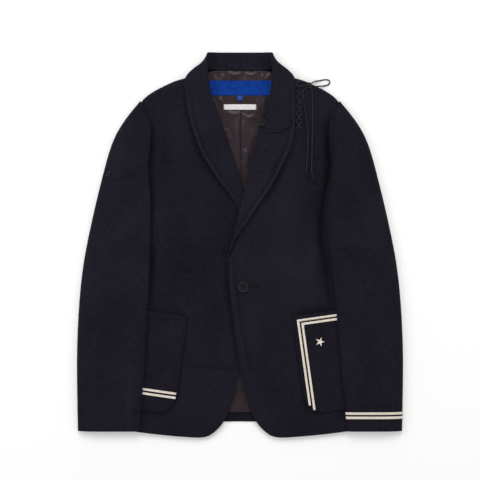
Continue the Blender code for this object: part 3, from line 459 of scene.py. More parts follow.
def clothFrom(nodeName, name, material, levels=3, widest=2.9, edgeHold=0.55):
    piece = bpy.data.objects.new(name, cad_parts[nodeName].data.copy())
    bpy.context.collection.objects.link(piece)
    piece.data.materials.clear()
    piece.data.materials.append(finish[material])
    pick(piece)
    bpy.ops.object.mode_set(mode="EDIT")
    bpy.ops.mesh.select_all(action="SELECT")
    bpy.ops.mesh.remove_doubles(threshold=1e-5)
    bpy.ops.mesh.tris_convert_to_quads(face_threshold=math.pi, shape_threshold=math.pi)
    bpy.ops.object.mode_set(mode="OBJECT")
    bpy.ops.mesh.customdata_custom_splitnormals_clear()
    holdRims(piece, widest, edgeHold)
    soften = piece.modifiers.new("Soften", "SUBSURF")
    soften.levels = soften.render_levels = levels
    bpy.ops.object.modifier_apply(modifier="Soften")
    bpy.ops.object.shade_smooth_by_angle(angle=math.radians(50))
    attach(piece, "root")
    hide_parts(nodeName)
    return piece


def smoothPath(points, step):  # a plan or space path through the points, at even steps (mm)
    points = np.array(points, float)
    if len(points) > 2:
        ends = [2 * points[0] - points[1], *points, 2 * points[-1] - points[-2]]
        fine = []
        for a, b, c, d in zip(ends, ends[1:], ends[2:], ends[3:]):
            t = np.linspace(0, 1, 17)[:-1, None]
            fine.append(0.5 * (2 * b + (c - a) * t + (2 * a - 5 * b + 4 * c - d) * t**2
                               + (3 * b - a - 3 * c + d) * t**3))
        points = np.vstack([*fine, points[-1:]])
    run = np.concatenate([[0], np.cumsum(np.linalg.norm(np.diff(points, axis=0), axis=1))])
    count = max(2, int(round(run[-1] / step)) + 1)
    at = np.linspace(0, run[-1], count)
    return np.column_stack([np.interp(at, run, column) for column in points.T])


def beside(points, distance):  # the path moved to its right by a distance
    path = smoothPath(points, 4.0)
    way = np.gradient(path, axis=0)
    way /= np.linalg.norm(way, axis=1)[:, None]
    return path + np.column_stack([-way[:, 1], way[:, 0]]) * distance


edgePaths = {  # plan paths in garment mm, from the collar down
    "lapelLeft": [(106, 76), (107.3, 105), (107.3, 134), (105.3, 158), (99.5, 185), (89.7, 207),
                  (76, 236), (58.5, 269), (39, 295), (19.5, 324), (0, 358), (-13, 378)],
    "lapelRight": [(-107.3, 74), (-105.3, 95), (-97.5, 134), (-87.8, 165), (-76, 197.5),
                   (-60.5, 224), (-43.9, 249), (-27.3, 271), (-12, 290)],
    "frontLeft": [(-24.2, 410), (-22.4, 446), (-20, 475), (-15.6, 524), (-5.9, 592), (1, 633),
                  (8.8, 661), (18.5, 698), (28.3, 721), (43, 738.7), (60, 748.6), (76, 752.6)],
    "frontRight": [(-3, 636), (-8.8, 661), (-18.5, 698), (-28.3, 721), (-43, 738.7), (-60, 748.6),
                   (-76, 752.6)],
}


def lineField(at, lines):
    # lines: (points (x, down), width, amount), each fading out across its width and at both ends
    field = np.zeros(len(at))
    for line, width, amount in lines:
        line = np.array(line, float)
        runs = np.linalg.norm(np.diff(line, axis=0), axis=1)
        whole, done = runs.sum(), 0.0
        nearest, along = np.full(len(at), 1e9), np.zeros(len(at))
        for a, b, run in zip(line, line[1:], runs):
            to = at[:, :2] - a
            t = np.clip(to @ (b - a) / run**2, 0, 1)
            away = np.linalg.norm(to - t[:, None] * (b - a), axis=1)
            closer = away < nearest
            nearest = np.where(closer, away, nearest)
            along = np.where(closer, (done + t * run) / whole, along)
            done += run
        swell = np.sin(np.pi * np.clip(along, 0, 1)) ** 0.6
        field += amount * swell * np.exp(-((nearest / width) ** 2) * 2)
    return field


foldPaintedLight = 0.045  # painted highlight and shade: how much a millimetre of fold height lightens the colour, and a millimetre of trough darkens it
foldFoot = {"body": 4.0, "collar": 8.0, "sleeve": 16.5}  # height under which cloth isn't folded


def folded(piece, folds, share=1.0, lowest=0.0, paintedShading=()):
    # raises soft ridges along the folds, or troughs where negative, and stores in the tone
    # attribute a painted highlight on the ridges, painted shade in the troughs, and the painted
    # shade and highlight of the lines given last
    points = coordinates(piece)
    at = garment(points)
    lift = lineField(at, folds)
    grip = np.clip((at[:, 2] - lowest) / 5, 0, 1)
    points[:, 2] += lift * share * grip * mm
    setCoordinates(piece, points)
    giveAttribute(piece.data, "tone", lift * share * foldPaintedLight + lineField(at, paintedShading))


bodyFolds = (
    (fromPicture((328, 112), (327, 128), (328, 146), (329, 164), (326, 184), (322, 204)), 12, -5.0),
    (fromPicture((321, 196), (319, 216), (320, 238), (324, 262), (328, 292), (330, 312)), 13, -4.6),
    (fromPicture((151, 118), (150, 150), (151, 190), (152, 230)), 10, -2.6),
    (fromPicture((152, 232), (152, 262), (150, 300)), 12, -3.0),
    (((-150, 250), (-158, 330), (-150, 430)), 20, 2.4),
    (((-120, 330), (-95, 420), (-60, 470)), 26, -1.8),
    (((-60, 320), (-30, 400), (-5, 455)), 18, -1.4),
    (((-90, 130), (-115, 220), (-125, 300)), 24, 1.6),
    (((-150, 130), (-140, 190), (-148, 260)), 14, -2.0),
    (((-40, 480), (-60, 560), (-50, 660)), 26, -1.6),
    (((-90, 500), (-82, 600), (-96, 700)), 16, 1.4),
    (((-20, 500), (-28, 600), (-18, 690)), 14, 1.2),
    (((120, 110), (138, 190), (142, 280)), 18, -2.2),
    (((150, 230), (128, 330), (120, 430)), 24, -2.6),
    (((95, 150), (98, 260), (80, 360)), 24, 2.2),
    (((60, 360), (95, 420), (140, 450)), 26, 1.8),
    (((20, 470), (70, 500), (120, 505)), 22, -1.6),
    (((8, 480), (30, 560), (34, 650)), 16, 1.6),
    (((60, 520), (52, 620), (70, 710)), 22, -1.6),
    (((150, 350), (135, 420), (150, 490)), 16, 1.6),
    (((-170, 640), (-120, 690), (-60, 715)), 20, 1.2),
    (((190, 690), (130, 715), (80, 722)), 18, 1.2),
)

pocket = {"corner": (102.0, 516.6), "tilt": math.radians(8), "height": 194.0, "round": 34.0,
          "stitch": 3.4}


def pocketSpot(side, across, along):  # a plan point from a pocket's own corner
    cos, sin = math.cos(pocket["tilt"]), math.sin(pocket["tilt"])
    out, down = pocket["corner"]
    return side * (out + across * cos + along * sin), down - across * sin + along * cos


def pocketEdge(side, inside):  # down its front edge and along its bottom, that far in from them
    turn = pocket["round"]
    arc = turn - inside
    bottom = pocket["height"] - turn
    corner = [pocketSpot(side, turn - arc * math.cos(a), bottom + arc * math.sin(a))
              for a in np.linspace(0, math.pi / 2, 9)]
    foot = pocket["height"] - inside
    return [*(pocketSpot(side, inside, along) for along in (1, 60, 120)), *corner,
            *(pocketSpot(side, across, foot) for across in (60, 104))]


# painted shade and highlight on the fronts: shade in the armhole valleys, the shadows the lapels
# cast, a highlight on the puffed front edge with shade in its stitched valley and beside it, shade
# at the pocket mouths and edges, and broad lighter and darker areas at the chest
bodyPaintedShading = (
    (fromPicture((330, 108), (328, 128), (328, 146), (328.5, 163), (326.5, 184), (323, 204),
                 (320, 222), (321, 240), (325, 264), (328, 290), (330, 312)), 7.5, -0.42),
    (fromPicture((326, 116), (324, 150), (323, 180), (317, 204), (318, 240), (322, 280)),
     20, -0.14),
    (fromPicture((139, 104), (149, 128), (151, 150), (151.5, 190), (152, 232)), 9, -0.20),
    (fromPicture((152, 225), (152, 262), (150, 305)), 10, -0.20),
    (beside(edgePaths["lapelLeft"][2:], -3.5), 8, -0.46),
    (beside(edgePaths["lapelRight"][1:], 3), 8, -0.46),
    (fromPicture((229.6, 250), (229.8, 262), (230.4, 274), (232, 290), (234.6, 308), (238, 332),
                 (244, 364), (249, 382)), 4.4, 0.34),
    (fromPicture((234.2, 256), (234.6, 270), (236.4, 288), (239.4, 308), (243, 332), (249, 364),
                 (254, 382)), 4.4, -0.24),
    (fromPicture((226, 244), (225.6, 258), (226, 274), (228, 292), (231, 312), (234, 332),
                 (239, 360)), 8, -0.34),
    (fromPicture((290, 314), (300, 311.5), (314, 309), (332, 305)), 9, -0.28),
    ([pocketSpot(right, across, -2) for across in (-6, 40, 80, 130)], 5, -0.34),
    ([pocketSpot(left, across, -2) for across in (-6, 40, 80, 130)], 5, -0.34),
    (pocketEdge(right, -1.6), 4.5, -0.36), (pocketEdge(left, -1.6), 4.5, -0.36),
    (fromPicture((285, 215), (300, 250), (290, 290), (262, 330)), 40, 0.07),
    (fromPicture((200, 330), (215, 370), (210, 410)), 34, 0.06),
    (fromPicture((165, 240), (190, 262), (215, 300)), 40, -0.05),
)

fronts = {}
for side in (right, left):
    name = sideNames[side]
    fronts[side] = clothFrom(f"front_{name}", f"cloth_front_{name}", f"front {name}")
    folded(fronts[side], bodyFolds, lowest=foldFoot["body"], paintedShading=bodyPaintedShading)
backs = {}
for side in (right, left):
    name = sideNames[side]
    backs[side] = clothFrom(f"back_{name}", f"cloth_back_{name}", "back")
print("fronts and back")

collars, sleeves, pockets = {}, {}, {}
lapelStitch = 9.5  # how far in from a lapel's edge its topstitching runs
collarFolds = {
    right: (
        (((-92, 60), (-88, 110), (-72, 170)), 15, 1.2), (((-60, 170), (-40, 230)), 12, -1.0),
        (((-80, 105), (-62, 120)), 8, -0.8),
    ),
    left: (
        (((90, 60), (92, 100)), 12, 1.0), (((70, 175), (85, 200)), 9, -0.8),
        (((55, 240), (30, 290)), 12, 1.0), (((66, 60), (74, 100)), 10, -0.8),
    ),
}
sleeveFolds = {
    right: (
        (((-205, 130), (-228, 200), (-240, 270)), 18, 1.6),
        (((-180, 230), (-205, 290), (-245, 330)), 15, -2.4),
        (((-178, 290), (-210, 345), (-262, 372)), 17, 2.0),
        (((-180, 345), (-220, 392), (-285, 420)), 15, -2.2),
        (((-182, 430), (-215, 460), (-255, 470)), 18, 1.4),
        (((-300, 350), (-280, 400), (-262, 470)), 16, -1.8),
        (((-250, 500), (-262, 590), (-255, 690)), 22, -1.6),
        (((-205, 520), (-212, 620), (-214, 738)), 13, 2.2),
        (((-192, 640), (-196, 690), (-200, 738)), 8, -1.8),
        (((-285, 560), (-290, 650), (-284, 730)), 16, 1.4),
        (((-255, 200), (-262, 250), (-268, 300)), 12, -1.4),
        (((-232, 640), (-238, 700), (-236, 740)), 12, -1.2),
    ),
    left: (
        (((205, 125), (226, 190), (236, 260)), 18, 1.6),
        (((176, 250), (212, 290), (250, 320)), 16, -2.4),
        (((170, 320), (208, 362), (268, 384)), 16, 2.2),
        (((178, 372), (222, 405), (288, 440)), 15, -2.4),
        (((190, 440), (225, 462), (262, 466)), 16, 1.4),
        (((296, 340), (284, 400), (262, 450)), 14, -1.6),
        (((238, 500), (252, 590), (262, 680)), 22, -1.8),
        (((290, 520), (296, 610), (288, 690)), 16, 1.6),
        (((205, 560), (218, 640), (222, 700)), 14, 1.6),
        (((250, 190), (256, 240), (262, 290)), 12, -1.2),
    ),
}
# painted shade and highlight on the collars: a highlight on the puffed lapel edge with shade in its
# stitched valley, shade at the sides of the stand, a faint lighter band down the roll, and shade
# beside the tab's edge
collarPaintedShading = {
    right: (
        (beside(edgePaths["lapelRight"], -3), 4.8, 0.28),
        (beside(edgePaths["lapelRight"], -9), 5, -0.26),
        (((-54, 2), (-60, 20), (-63, 36), (-60, 60)), 5, -0.30),
        (((-62, 22), (-66, 60), (-52, 120), (-30, 190)), 6, 0.08),
        (((-46, 4), (-49, 20), (-48, 34)), 9, -0.22),
    ),
    left: (
        (beside(edgePaths["lapelLeft"], 3), 4.8, 0.34),
        (beside(edgePaths["lapelLeft"], 9), 5, -0.30),
        (((54, 2), (58, 20), (61, 36), (60, 60)), 5, -0.30),
        (((64, 22), (66, 60), (60, 100)), 6, 0.08),
        (((46, 4), (48, 20), (49, 34)), 8, -0.18),
        (((102, 122), (98, 146), (86, 157), (70, 161), (50, 159)), 6, -0.25),
    ),
}
# painted shade and highlight on the sleeves: shade along their inner edges and in the left armhole
# valley, a lighter band down the middle of each as if rounded, a lit ridge and a shaded valley at
# the right cuff, and shade along seams
sleevePaintedShading = {
    right: (
        (((-166, 250), (-166, 400), (-178, 560), (-186, 730)), 14, -0.16),
        (((-215, 656), (-217, 700), (-216, 744)), 5, 0.16),
        (((-222, 650), (-225, 700), (-224, 744)), 6, -0.14),
        (((-215, 130), (-250, 260), (-280, 420), (-290, 560)), 30, 0.07),
        (((-262, 257), (-240, 250), (-212, 243), (-176, 237)), 6, -0.16),
    ),
    left: (
        (((172, 180), (166, 300), (172, 400), (186, 520), (196, 640)), 10, -0.22),
        (fromPicture((334, 112), (331, 140), (331, 164), (329, 190), (324, 214)), 7, -0.3),
        (((215, 130), (250, 260), (280, 420), (290, 560)), 30, 0.06),
        (((208, 689), (262, 690), (316, 689)), 4, -0.18),
    ),
}
tip = {  # the left lapel runs out into the front edge
    "start": 318.0, "end": 391.0, "reach": 13.0, "narrow": 0.80,
    "drop": 3.5, "flatten": 0.95, "clear": 0.1,
    "fold": ((300, 1.0), (330, -6.2), (360, -13.5), (382, -19.0), (402, -23.8), (420, -24.3)),
}
neckCorners = {"place": (62.0, 6.0), "push": (3.6, 5.5), "reach": (15.0, 13.0), "start": 40.0,
               "fade": 10.0}
neckTop = 3.0  # the collar's top edge runs straight there


def runOut(piece, over):  # narrows a lapel's end towards its fold and lets it down on the front
    points = coordinates(piece)
    at = garment(points)
    share = np.clip((at[:, 1] - tip["start"]) / (tip["end"] - tip["start"]), 0, 1)
    share = share * share * (3 - 2 * share)
    table = np.array(tip["fold"])
    down = at[:, 1] + tip["reach"] * share
    fold = np.interp(down, table[:, 0], table[:, 1])
    before = np.interp(at[:, 1], table[:, 0], table[:, 1])
    x = fold + (at[:, 0] - before) * (1 - tip["narrow"] * share)
    rest = treeOf([over])
    for i in np.nonzero(share > 0)[0]:
        place = rest.ray_cast(spot(x[i], down[i], 120), Vector((0, 0, -1)))[0]
        if place is not None:
            top = place.z / mm + tip["clear"]
            flat = top + (at[i, 2] - top) * (1 - tip["flatten"] * share[i])
            at[i, 2] = max(at[i, 2] - tip["drop"] * share[i], flat)
    points = np.column_stack([x, blazerLength / 2 - down, at[:, 2]]) * mm
    setCoordinates(piece, points)


def pushed(piece, place, push, reach, start, fade):  # moves corners in plan, fading over an oval
    points = coordinates(piece)
    at = garment(points)
    out = np.abs(at[:, 0])
    away = ((out - place[0]) / reach[0]) ** 2 + ((at[:, 1] - place[1]) / reach[1]) ** 2
    share = np.exp(-away) * np.clip((out - start) / fade, 0, 1)
    points[:, 0] += np.sign(at[:, 0]) * push[0] * share * mm
    points[:, 1] += push[1] * share * mm
    points[:, 1] = np.minimum(points[:, 1], (blazerLength / 2 - neckTop) * mm)
    setCoordinates(piece, points)


for side in (right, left):
    name = sideNames[side]
    collars[side] = clothFrom(f"collar_{name}", f"cloth_collar_{name}", f"collar {name}")
    folded(collars[side], collarFolds[side], lowest=foldFoot["collar"], paintedShading=collarPaintedShading[side])
    pushed(collars[side], **neckCorners)
    if side == left:
        runOut(collars[side], fronts[left])
    sleeves[side] = clothFrom(f"sleeve_{name}", f"cloth_sleeve_{name}", f"sleeve {name}")
    folded(sleeves[side], sleeveFolds[side], lowest=foldFoot["sleeve"], paintedShading=sleevePaintedShading[side])
    pockets[side] = clothFrom(f"pocket_{name}", f"cloth_pocket_{name}", "pocket")
    # painted shade along the pocket stitching and under its top hem stitching, and a painted
    # highlight on its edge
    folded(pockets[side], bodyFolds, lowest=foldFoot["body"], paintedShading=(
        (pocketEdge(side, pocket["stitch"]), 3.4, -0.20), (pocketEdge(side, 0.8), 3, 0.14),
        ([pocketSpot(side, across, 11) for across in (0, 60, 118)], 3.4, -0.16)))
print("collar, sleeves and pockets")

liningFolds = (
    (((-52, 46), (-46, 58), (-48, 72)), 4.0, 1.5), (((-36, 44), (-33, 52), (-37, 60)), 3.4, 1.7),
    (((-24, 42), (-10, 47), (4, 44)), 3.2, 1.9), (((-18, 44), (-21, 54), (-17, 62)), 3.0, 1.5),
    (((8, 44), (22, 48), (34, 43)), 3.4, 1.9), (((12, 47), (10, 56), (14, 66)), 3.0, 1.6),
    (((42, 44), (45, 56), (40, 68)), 3.8, 1.6), (((56, 44), (52, 56), (54, 66)), 4.0, 1.3),
    (((-54, 92), (-50, 104), (-52, 122)), 5.0, 1.7),
    (((-40, 90), (-34, 102), (-28, 118)), 4.6, 1.5),
    (((34, 92), (37, 106), (33, 124)), 5.0, 1.9), (((46, 94), (45, 106), (50, 116)), 3.8, 1.4),
    (((-32, 118), (-12, 124), (2, 120)), 5.0, 1.4), (((4, 122), (16, 131), (30, 126)), 5.0, 1.8),
    (((-3, 122), (-5, 150), (-3, 190)), 4.0, 1.6), (((6, 132), (8, 150), (5, 186)), 4.4, 1.3),
    (((-26, 150), (-20, 172), (-24, 200)), 8.0, 1.6),
    (((-18, 182), (-10, 205), (-6, 240)), 6.0, 1.5),
    (((8, 190), (14, 205), (10, 228)), 6.0, 2.0), (((2, 215), (0, 250), (-3, 290)), 5.0, 1.5),
    (((26, 150), (22, 175), (16, 200)), 6.0, 1.2), (((-4, 655), (2, 668), (14, 672)), 5.0, 1.8),
    (((-14, 672), (-6, 680), (8, 682)), 4.0, 1.7), (((10, 660), (16, 676), (14, 692)), 4.0, 1.5),
    (((-24, 684), (-10, 692), (4, 690)), 4.0, 1.6),
    (((-34, 690), (-30, 698), (-36, 704)), 4.0, 1.2),
    (((22, 676), (26, 690), (36, 698)), 4.0, 1.6), (((-2, 640), (-6, 655), (-4, 668)), 4.4, 1.4),
)
# painted shade on the lining: a dark line in the centre pleat, shade under the collar at the neck
# and down its sides, and shade near the hem
liningPaintedShade = (
    (fromPicture((241, 108), (240.4, 130), (240.8, 160), (241.6, 190)), 3.2, -0.5),
    (fromPicture((213, 72), (240, 70), (268, 72)), 7, -0.35),
    (fromPicture((212, 76), (214, 110), (222, 150), (234, 190)), 6, -0.3),
    (fromPicture((269, 76), (264, 110), (256, 140), (246, 190)), 6, -0.3),
    (fromPicture((232, 394), (240, 388), (246, 396)), 8, -0.2),
)
crinkle = {"height": 0.55, "size": (17.0, 30.0), "fractal": (0.9, 2.1, 2)}


def crinkled(piece):  # small puckers of slack satin
    points = coordinates(piece)
    at = garment(points)
    for i, (x, down, _) in enumerate(at):
        place = Vector((x / crinkle["size"][0], down / crinkle["size"][1], 2.0))
        bump = 1 - 2 * abs(noise.fractal(place, *crinkle["fractal"]))
        points[i, 2] += crinkle["height"] * (bump - 0.5) * mm
    setCoordinates(piece, points)


lining = clothFrom("lining_back", "cloth_lining", "lining", levels=4, widest=1.6)
folded(lining, liningFolds, paintedShading=liningPaintedShade)
crinkled(lining)
tab = clothFrom("collar_tab", "cloth_collar_tab", "tab", widest=2.2)
tabEdge = [(98.4, 121), (97.6, 134), (93.4, 144.4), (84, 152), (71, 155.6), (58, 156.2),
           (47.5, 153.4)]
# painted shade along the tab's edge and a painted highlight just inside it
folded(tab, collarFolds[left], lowest=foldFoot["collar"],
       paintedShading=((tabEdge, 4, -0.2), (beside(tabEdge, -3.2), 3.4, 0.16)))
lapelPatch = clothFrom("lapel_patch", "cloth_lapel_patch", "patch", widest=1.6)
folded(lapelPatch, collarFolds[left], lowest=foldFoot["collar"])
print("lining, tab and patch")


# tapes and labels, with thread directions for their ribs

def alongPath(piece, path):
    # for each point: distances along and across the nearest run of a plan path, and the way from it
    at = garment(coordinates(piece))[:, :2]
    path = np.array(path, float)
    runs = np.linalg.norm(np.diff(path, axis=0), axis=1)
    nearest, away = np.full(len(at), 1e9), np.zeros((len(at), 2))
    along, across, done = np.zeros(len(at)), np.zeros(len(at)), 0.0
    for a, b, run in zip(path, path[1:], runs):
        to, unit = at - a, (b - a) / run
        off = to - np.clip(to @ unit, 0, run)[:, None] * unit
        far = np.linalg.norm(off, axis=1)
        closer = far < nearest
        nearest = np.where(closer, far, nearest)
        away = np.where(closer[:, None], off, away)
        along = np.where(closer, done + to @ unit, along)
        across = np.where(closer, to @ np.array([-unit[1], unit[0]]), across)
        done += run
    return along, across, away


def measured(piece, path):  # for the ribs of a tape or label
    along, across, _ = alongPath(piece, path)
    giveAttribute(piece.data, "along", along * mm)
    giveAttribute(piece.data, "across", across * mm)


def slimmed(piece, path, share):  # brings a tape's edges in towards its middle
    away = alongPath(piece, path)[2]
    points = coordinates(piece)
    points[:, 0] -= away[:, 0] * share * mm
    points[:, 1] += away[:, 1] * share * mm
    setCoordinates(piece, points)


def sharpened(piece, inner):  # draws the notches of a star in towards its middle
    points = coordinates(piece)
    low, high = points.min(axis=0), points.max(axis=0)
    middle = (low[:2] + high[:2]) / 2
    out = points[:, :2] - middle
    radius = np.linalg.norm(out, axis=1)
    share = radius / radius.max()
    points[:, :2] = middle + out * (1 - (1 - inner) * np.clip((1 - share) / 0.5, 0, 1))[:, None]
    setCoordinates(piece, points)


tapes = (  # node, the plan path of its middle
    ("tape_pocket_right_1", fromPicture((130, 387), (144.4, 389.4), (178.7, 394.2))),
    ("tape_pocket_right_2", fromPicture((130, 391), (144.4, 393.4), (178.7, 398.2))),
    ("tape_pocket_left_1", fromPicture((338, 314.5), (297.5, 320.6), (309, 405))),
    ("tape_pocket_left_2", fromPicture((338, 318), (302, 323.6), (314, 409))),
    ("tape_cuff_left_1", fromPicture((345, 412.6), (404, 412.6))),
    ("tape_cuff_left_2", fromPicture((345, 417), (404, 417))),
)
tapeSlim, starNotch = 0.12, 0.84
tapePieces = {}
for nodeName, path in tapes:
    tape = clothFrom(nodeName, "ribbon_" + nodeName, "cream", widest=1.6)
    measured(tape, path)
    slimmed(tape, path, tapeSlim)
    if "cuff" in nodeName:
        folded(tape, sleeveFolds[left], lowest=foldFoot["sleeve"])
    else:
        folded(tape, bodyFolds, lowest=foldFoot["body"])
    tapePieces[nodeName] = tape
star = clothFrom("star", "ribbon_star", "cream", widest=1.6, edgeHold=1.0)
measured(star, fromPicture((312, 341), (330, 341)))
sharpened(star, starNotch)
folded(star, bodyFolds, lowest=foldFoot["body"])
labels = (
    ("label_main", "label_wide", "blue", "label_blue"),
    ("label_size", "label_small", "pale blue", "label_blue"),
    ("label_care", "label_white", "white", "label_white"),
)
labelPieces = {}
for nodeName, name, material, slot in labels:
    label = clothFrom(nodeName, name, material, levels=4, widest=1.6)
    measured(label, ((-70, 60), (70, 60)))
    folded(label, liningFolds, 0.8)
    labelPieces[name] = label
print("tapes and labels")


# lines on the cloth: where they lie, and what is sewn along them

trunk = [*fronts.values(), *pockets.values()]
outside = [*trunk, *collars.values(), *sleeves.values(), tab, lapelPatch]
trees = {
    "all": treeOf([*outside, *tapePieces.values()]),
    "neck": treeOf([lining, *labelPieces.values()]),
    "tapes": treeOf(tapePieces.values()),
    "under": treeOf([*backs.values(), *fronts.values(), *sleeves.values(), *collars.values()]),
}


def ground(x, down, tree="all"):  # the cloth's place and normal at a plan point, from its side
    below = tree == "under"
    way = Vector((0, 0, 1 if below else -1))
    place, normal, _, _ = trees[tree].ray_cast(spot(x, down, -60 if below else 120), way)
    if place is None:
        return None, None
    return place, normal if normal.dot(way) < 0 else -normal


def meshPiece(name, corners, faces, material, attributes=()):
    data = bpy.data.meshes.new(name)
    data.from_pydata(corners, [], faces)
    data.materials.append(finish[material])
    piece = bpy.data.objects.new(name, data)
    bpy.context.collection.objects.link(piece)
    data.polygons.foreach_set("use_smooth", [True] * len(data.polygons))
    for label, values in attributes:
        giveAttribute(data, label, values)
    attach(piece, "root")
    return piece


threadStitch = {"length": 2.5, "width": 0.62, "height": 0.46, "rise": 0.10, "bow": 1.1}


def stitchModel():  # one short stitch with both ends dipping into the cloth
    bpy.ops.object.select_all(action="DESELECT")
    bpy.ops.mesh.primitive_uv_sphere_add(segments=6, ring_count=5, radius=0.5)
    stitch = bpy.context.object
    bpy.ops.object.mode_set(mode="EDIT")
    bpy.ops.mesh.select_all(action="SELECT")
    bpy.ops.transform.rotate(value=math.pi / 2, orient_axis="Y", center_override=(0, 0, 0))
    bpy.ops.object.mode_set(mode="OBJECT")
    points = coordinates(stitch)
    faces = [list(polygon.vertices) for polygon in stitch.data.polygons]
    bpy.data.objects.remove(stitch, do_unlink=True)
    points[:, 2] -= points[:, 0] ** 2 * threadStitch["bow"]
    return points, faces


stitchPoints, stitchFaces = stitchModel()


def sew(name, seams, material, slot="wool", tree="all", pitch=3.2, length=None, width=None,
        turn=0.0):
    # seams: plan paths; one stitch at each pitch along them, turned from their direction
    length = length or threadStitch["length"]
    width = width or threadStitch["width"]
    size = np.array([length, width, threadStitch["height"] * width / threadStitch["width"]])
    corners, faces = [], []
    for seam in seams:
        path = smoothPath(seam, pitch)
        for (x, down), (wx, wd) in zip(path, np.gradient(path, axis=0)):
            place, normal = ground(x, down, tree)
            if place is None:
                continue
            way = Matrix.Rotation(turn, 3, normal) @ Vector((wx, -wd, 0)).normalized()
            way = (way - normal * way.dot(normal)).normalized()
            axes = np.array([way, normal.cross(way), normal])
            start = len(corners)
            placed = (stitchPoints * size) @ axes * mm
            placed += np.array(place + normal * threadStitch["rise"] * mm)
            corners += placed.tolist()
            faces += [[start + i for i in face] for face in stitchFaces]
    return meshPiece(name, corners, faces, material)


def bandRows(line, profile, tree, step):  # the profile's places on the cloth all along a line
    path = smoothPath(line, step)
    ways = np.gradient(path, axis=0)
    ways /= np.linalg.norm(ways, axis=1)[:, None]
    rows = []
    for i, ((x, down), (wx, wd)) in enumerate(zip(path, ways)):
        ends = min(1.0, 0.15 + min(i, len(path) - 1 - i) / 2)  # it rises over the first steps
        row = []
        for offset, height in profile:
            place, normal = ground(x - wd * offset, down + wx * offset, tree)
            if place is None:
                break
            row.append(place + normal * (height * ends if height > 0 else height) * mm)
        if len(row) == len(profile):
            rows.append((row, i * step))
    return rows


def bands(name, lines, profile, material, tree="all", step=3.0):
    # profile: (offset, height) in mm across each line, a closed low form that hugs the cloth
    corners, faces, along, across = [], [], [], []
    wide = len(profile)
    for line in lines:
        rows = bandRows(line, profile, tree, step)
        if len(rows) < 2:
            continue
        start = len(corners)
        for row, run in rows:
            corners += [tuple(point) for point in row]
            along += [run * mm] * wide
            across += [offset * mm for offset, _ in profile]
        for r in range(len(rows) - 1):
            for k in range(wide):
                a, b = start + r * wide + k, start + r * wide + (k + 1) % wide
                faces.append([a, b, b + wide, a + wide])
        faces.append([start + k for k in range(wide)][::-1])
        faces.append([start + (len(rows) - 1) * wide + k for k in range(wide)])
    piece = meshPiece(name, corners, faces, material,
                      (("along", along), ("across", across)))
    pick(piece)
    bpy.ops.object.mode_set(mode="EDIT")
    bpy.ops.mesh.select_all(action="SELECT")
    bpy.ops.mesh.normals_make_consistent(inside=False)
    bpy.ops.object.mode_set(mode="OBJECT")


weltProfile = ((-2.6, -0.25), (-1.7, 0.16), (-0.9, 0.30), (-0.35, 0.02), (0.35, 0.02),
               (0.9, 0.30), (1.7, 0.16), (2.6, -0.25), (1.5, -0.5), (-1.5, -0.5))
softWelt = tuple((offset * 0.8, height * 0.6) for offset, height in weltProfile)
grooveProfile = ((-0.42, -0.15), (-0.3, 0.05), (0.3, 0.05), (0.42, -0.15), (0, -0.3))
jointProfile = ((-0.75, -0.15), (-0.55, 0.1), (0.55, 0.1), (0.75, -0.15), (0.5, -0.3),
                (-0.5, -0.3))
pleatProfile = ((-0.7, -0.2), (-0.4, 0.12), (0.4, 0.12), (0.7, -0.2), (0, -0.3))


# seams

seams = {
    "chest": fromPicture((153, 206.5), (170, 208.6), (184, 206.6), (198, 204.2), (211.5, 206),
                         (226, 206.8)),
    "low": fromPicture((184, 364.6), (200, 366), (218, 368), (231.5, 369.6)),
    "dart": fromPicture((263.5, 212), (260.5, 220), (257, 228.5), (252.5, 240), (248.6, 251),
                        (245, 262), (241.8, 273)),
    "yoke": fromPicture((296.4, 147), (300, 145.4), (305.2, 142.6)),
    "sleeveRight": fromPicture((108, 182.4), (118, 179.4), (130, 176.4), (140, 174.4),
                               (149.6, 172.6)),
    "sleeveHead": fromPicture((333.8, 110.6), (337.4, 108.2), (341.2, 105.8)),
    "collarRight": fromPicture((217.6, 155.4), (222, 153), (226, 150.2)),
}
seamCloth = {"chest": "front right", "low": "front right", "dart": "front left",
             "yoke": "front left", "sleeveRight": "sleeve right", "sleeveHead": "sleeve left",
             "collarRight": "collar right"}
for name, material in seamCloth.items():
    bands("seam_" + name, [seams[name]], softWelt, material)
# dark strips in the seams' grooves: painted shade
bands("seam_creases", [seams[name] for name in ("low", "dart", "sleeveRight", "collarRight")],
      grooveProfile, "seamShade")
collarMiddle = [(0.15, 2.5), (0.1, 12), (0.0, 22), (-0.1, 30), (-0.1, 38.5)]
bands("seam_collar_middle", [collarMiddle], weltProfile, "collar left", step=1.5)
# a dark strip in the collar's middle seam: painted shade
bands("seam_collar_groove", [collarMiddle], jointProfile, "seamShade", step=1.5)
# a dark strip in the lining's centre pleat: painted shade
bands("seam_pleat", [fromPicture((241, 109), (240.4, 130), (240.8, 160), (241.6, 190))],
      pleatProfile, "pleatShade", tree="neck")
print("seams")


# stitching

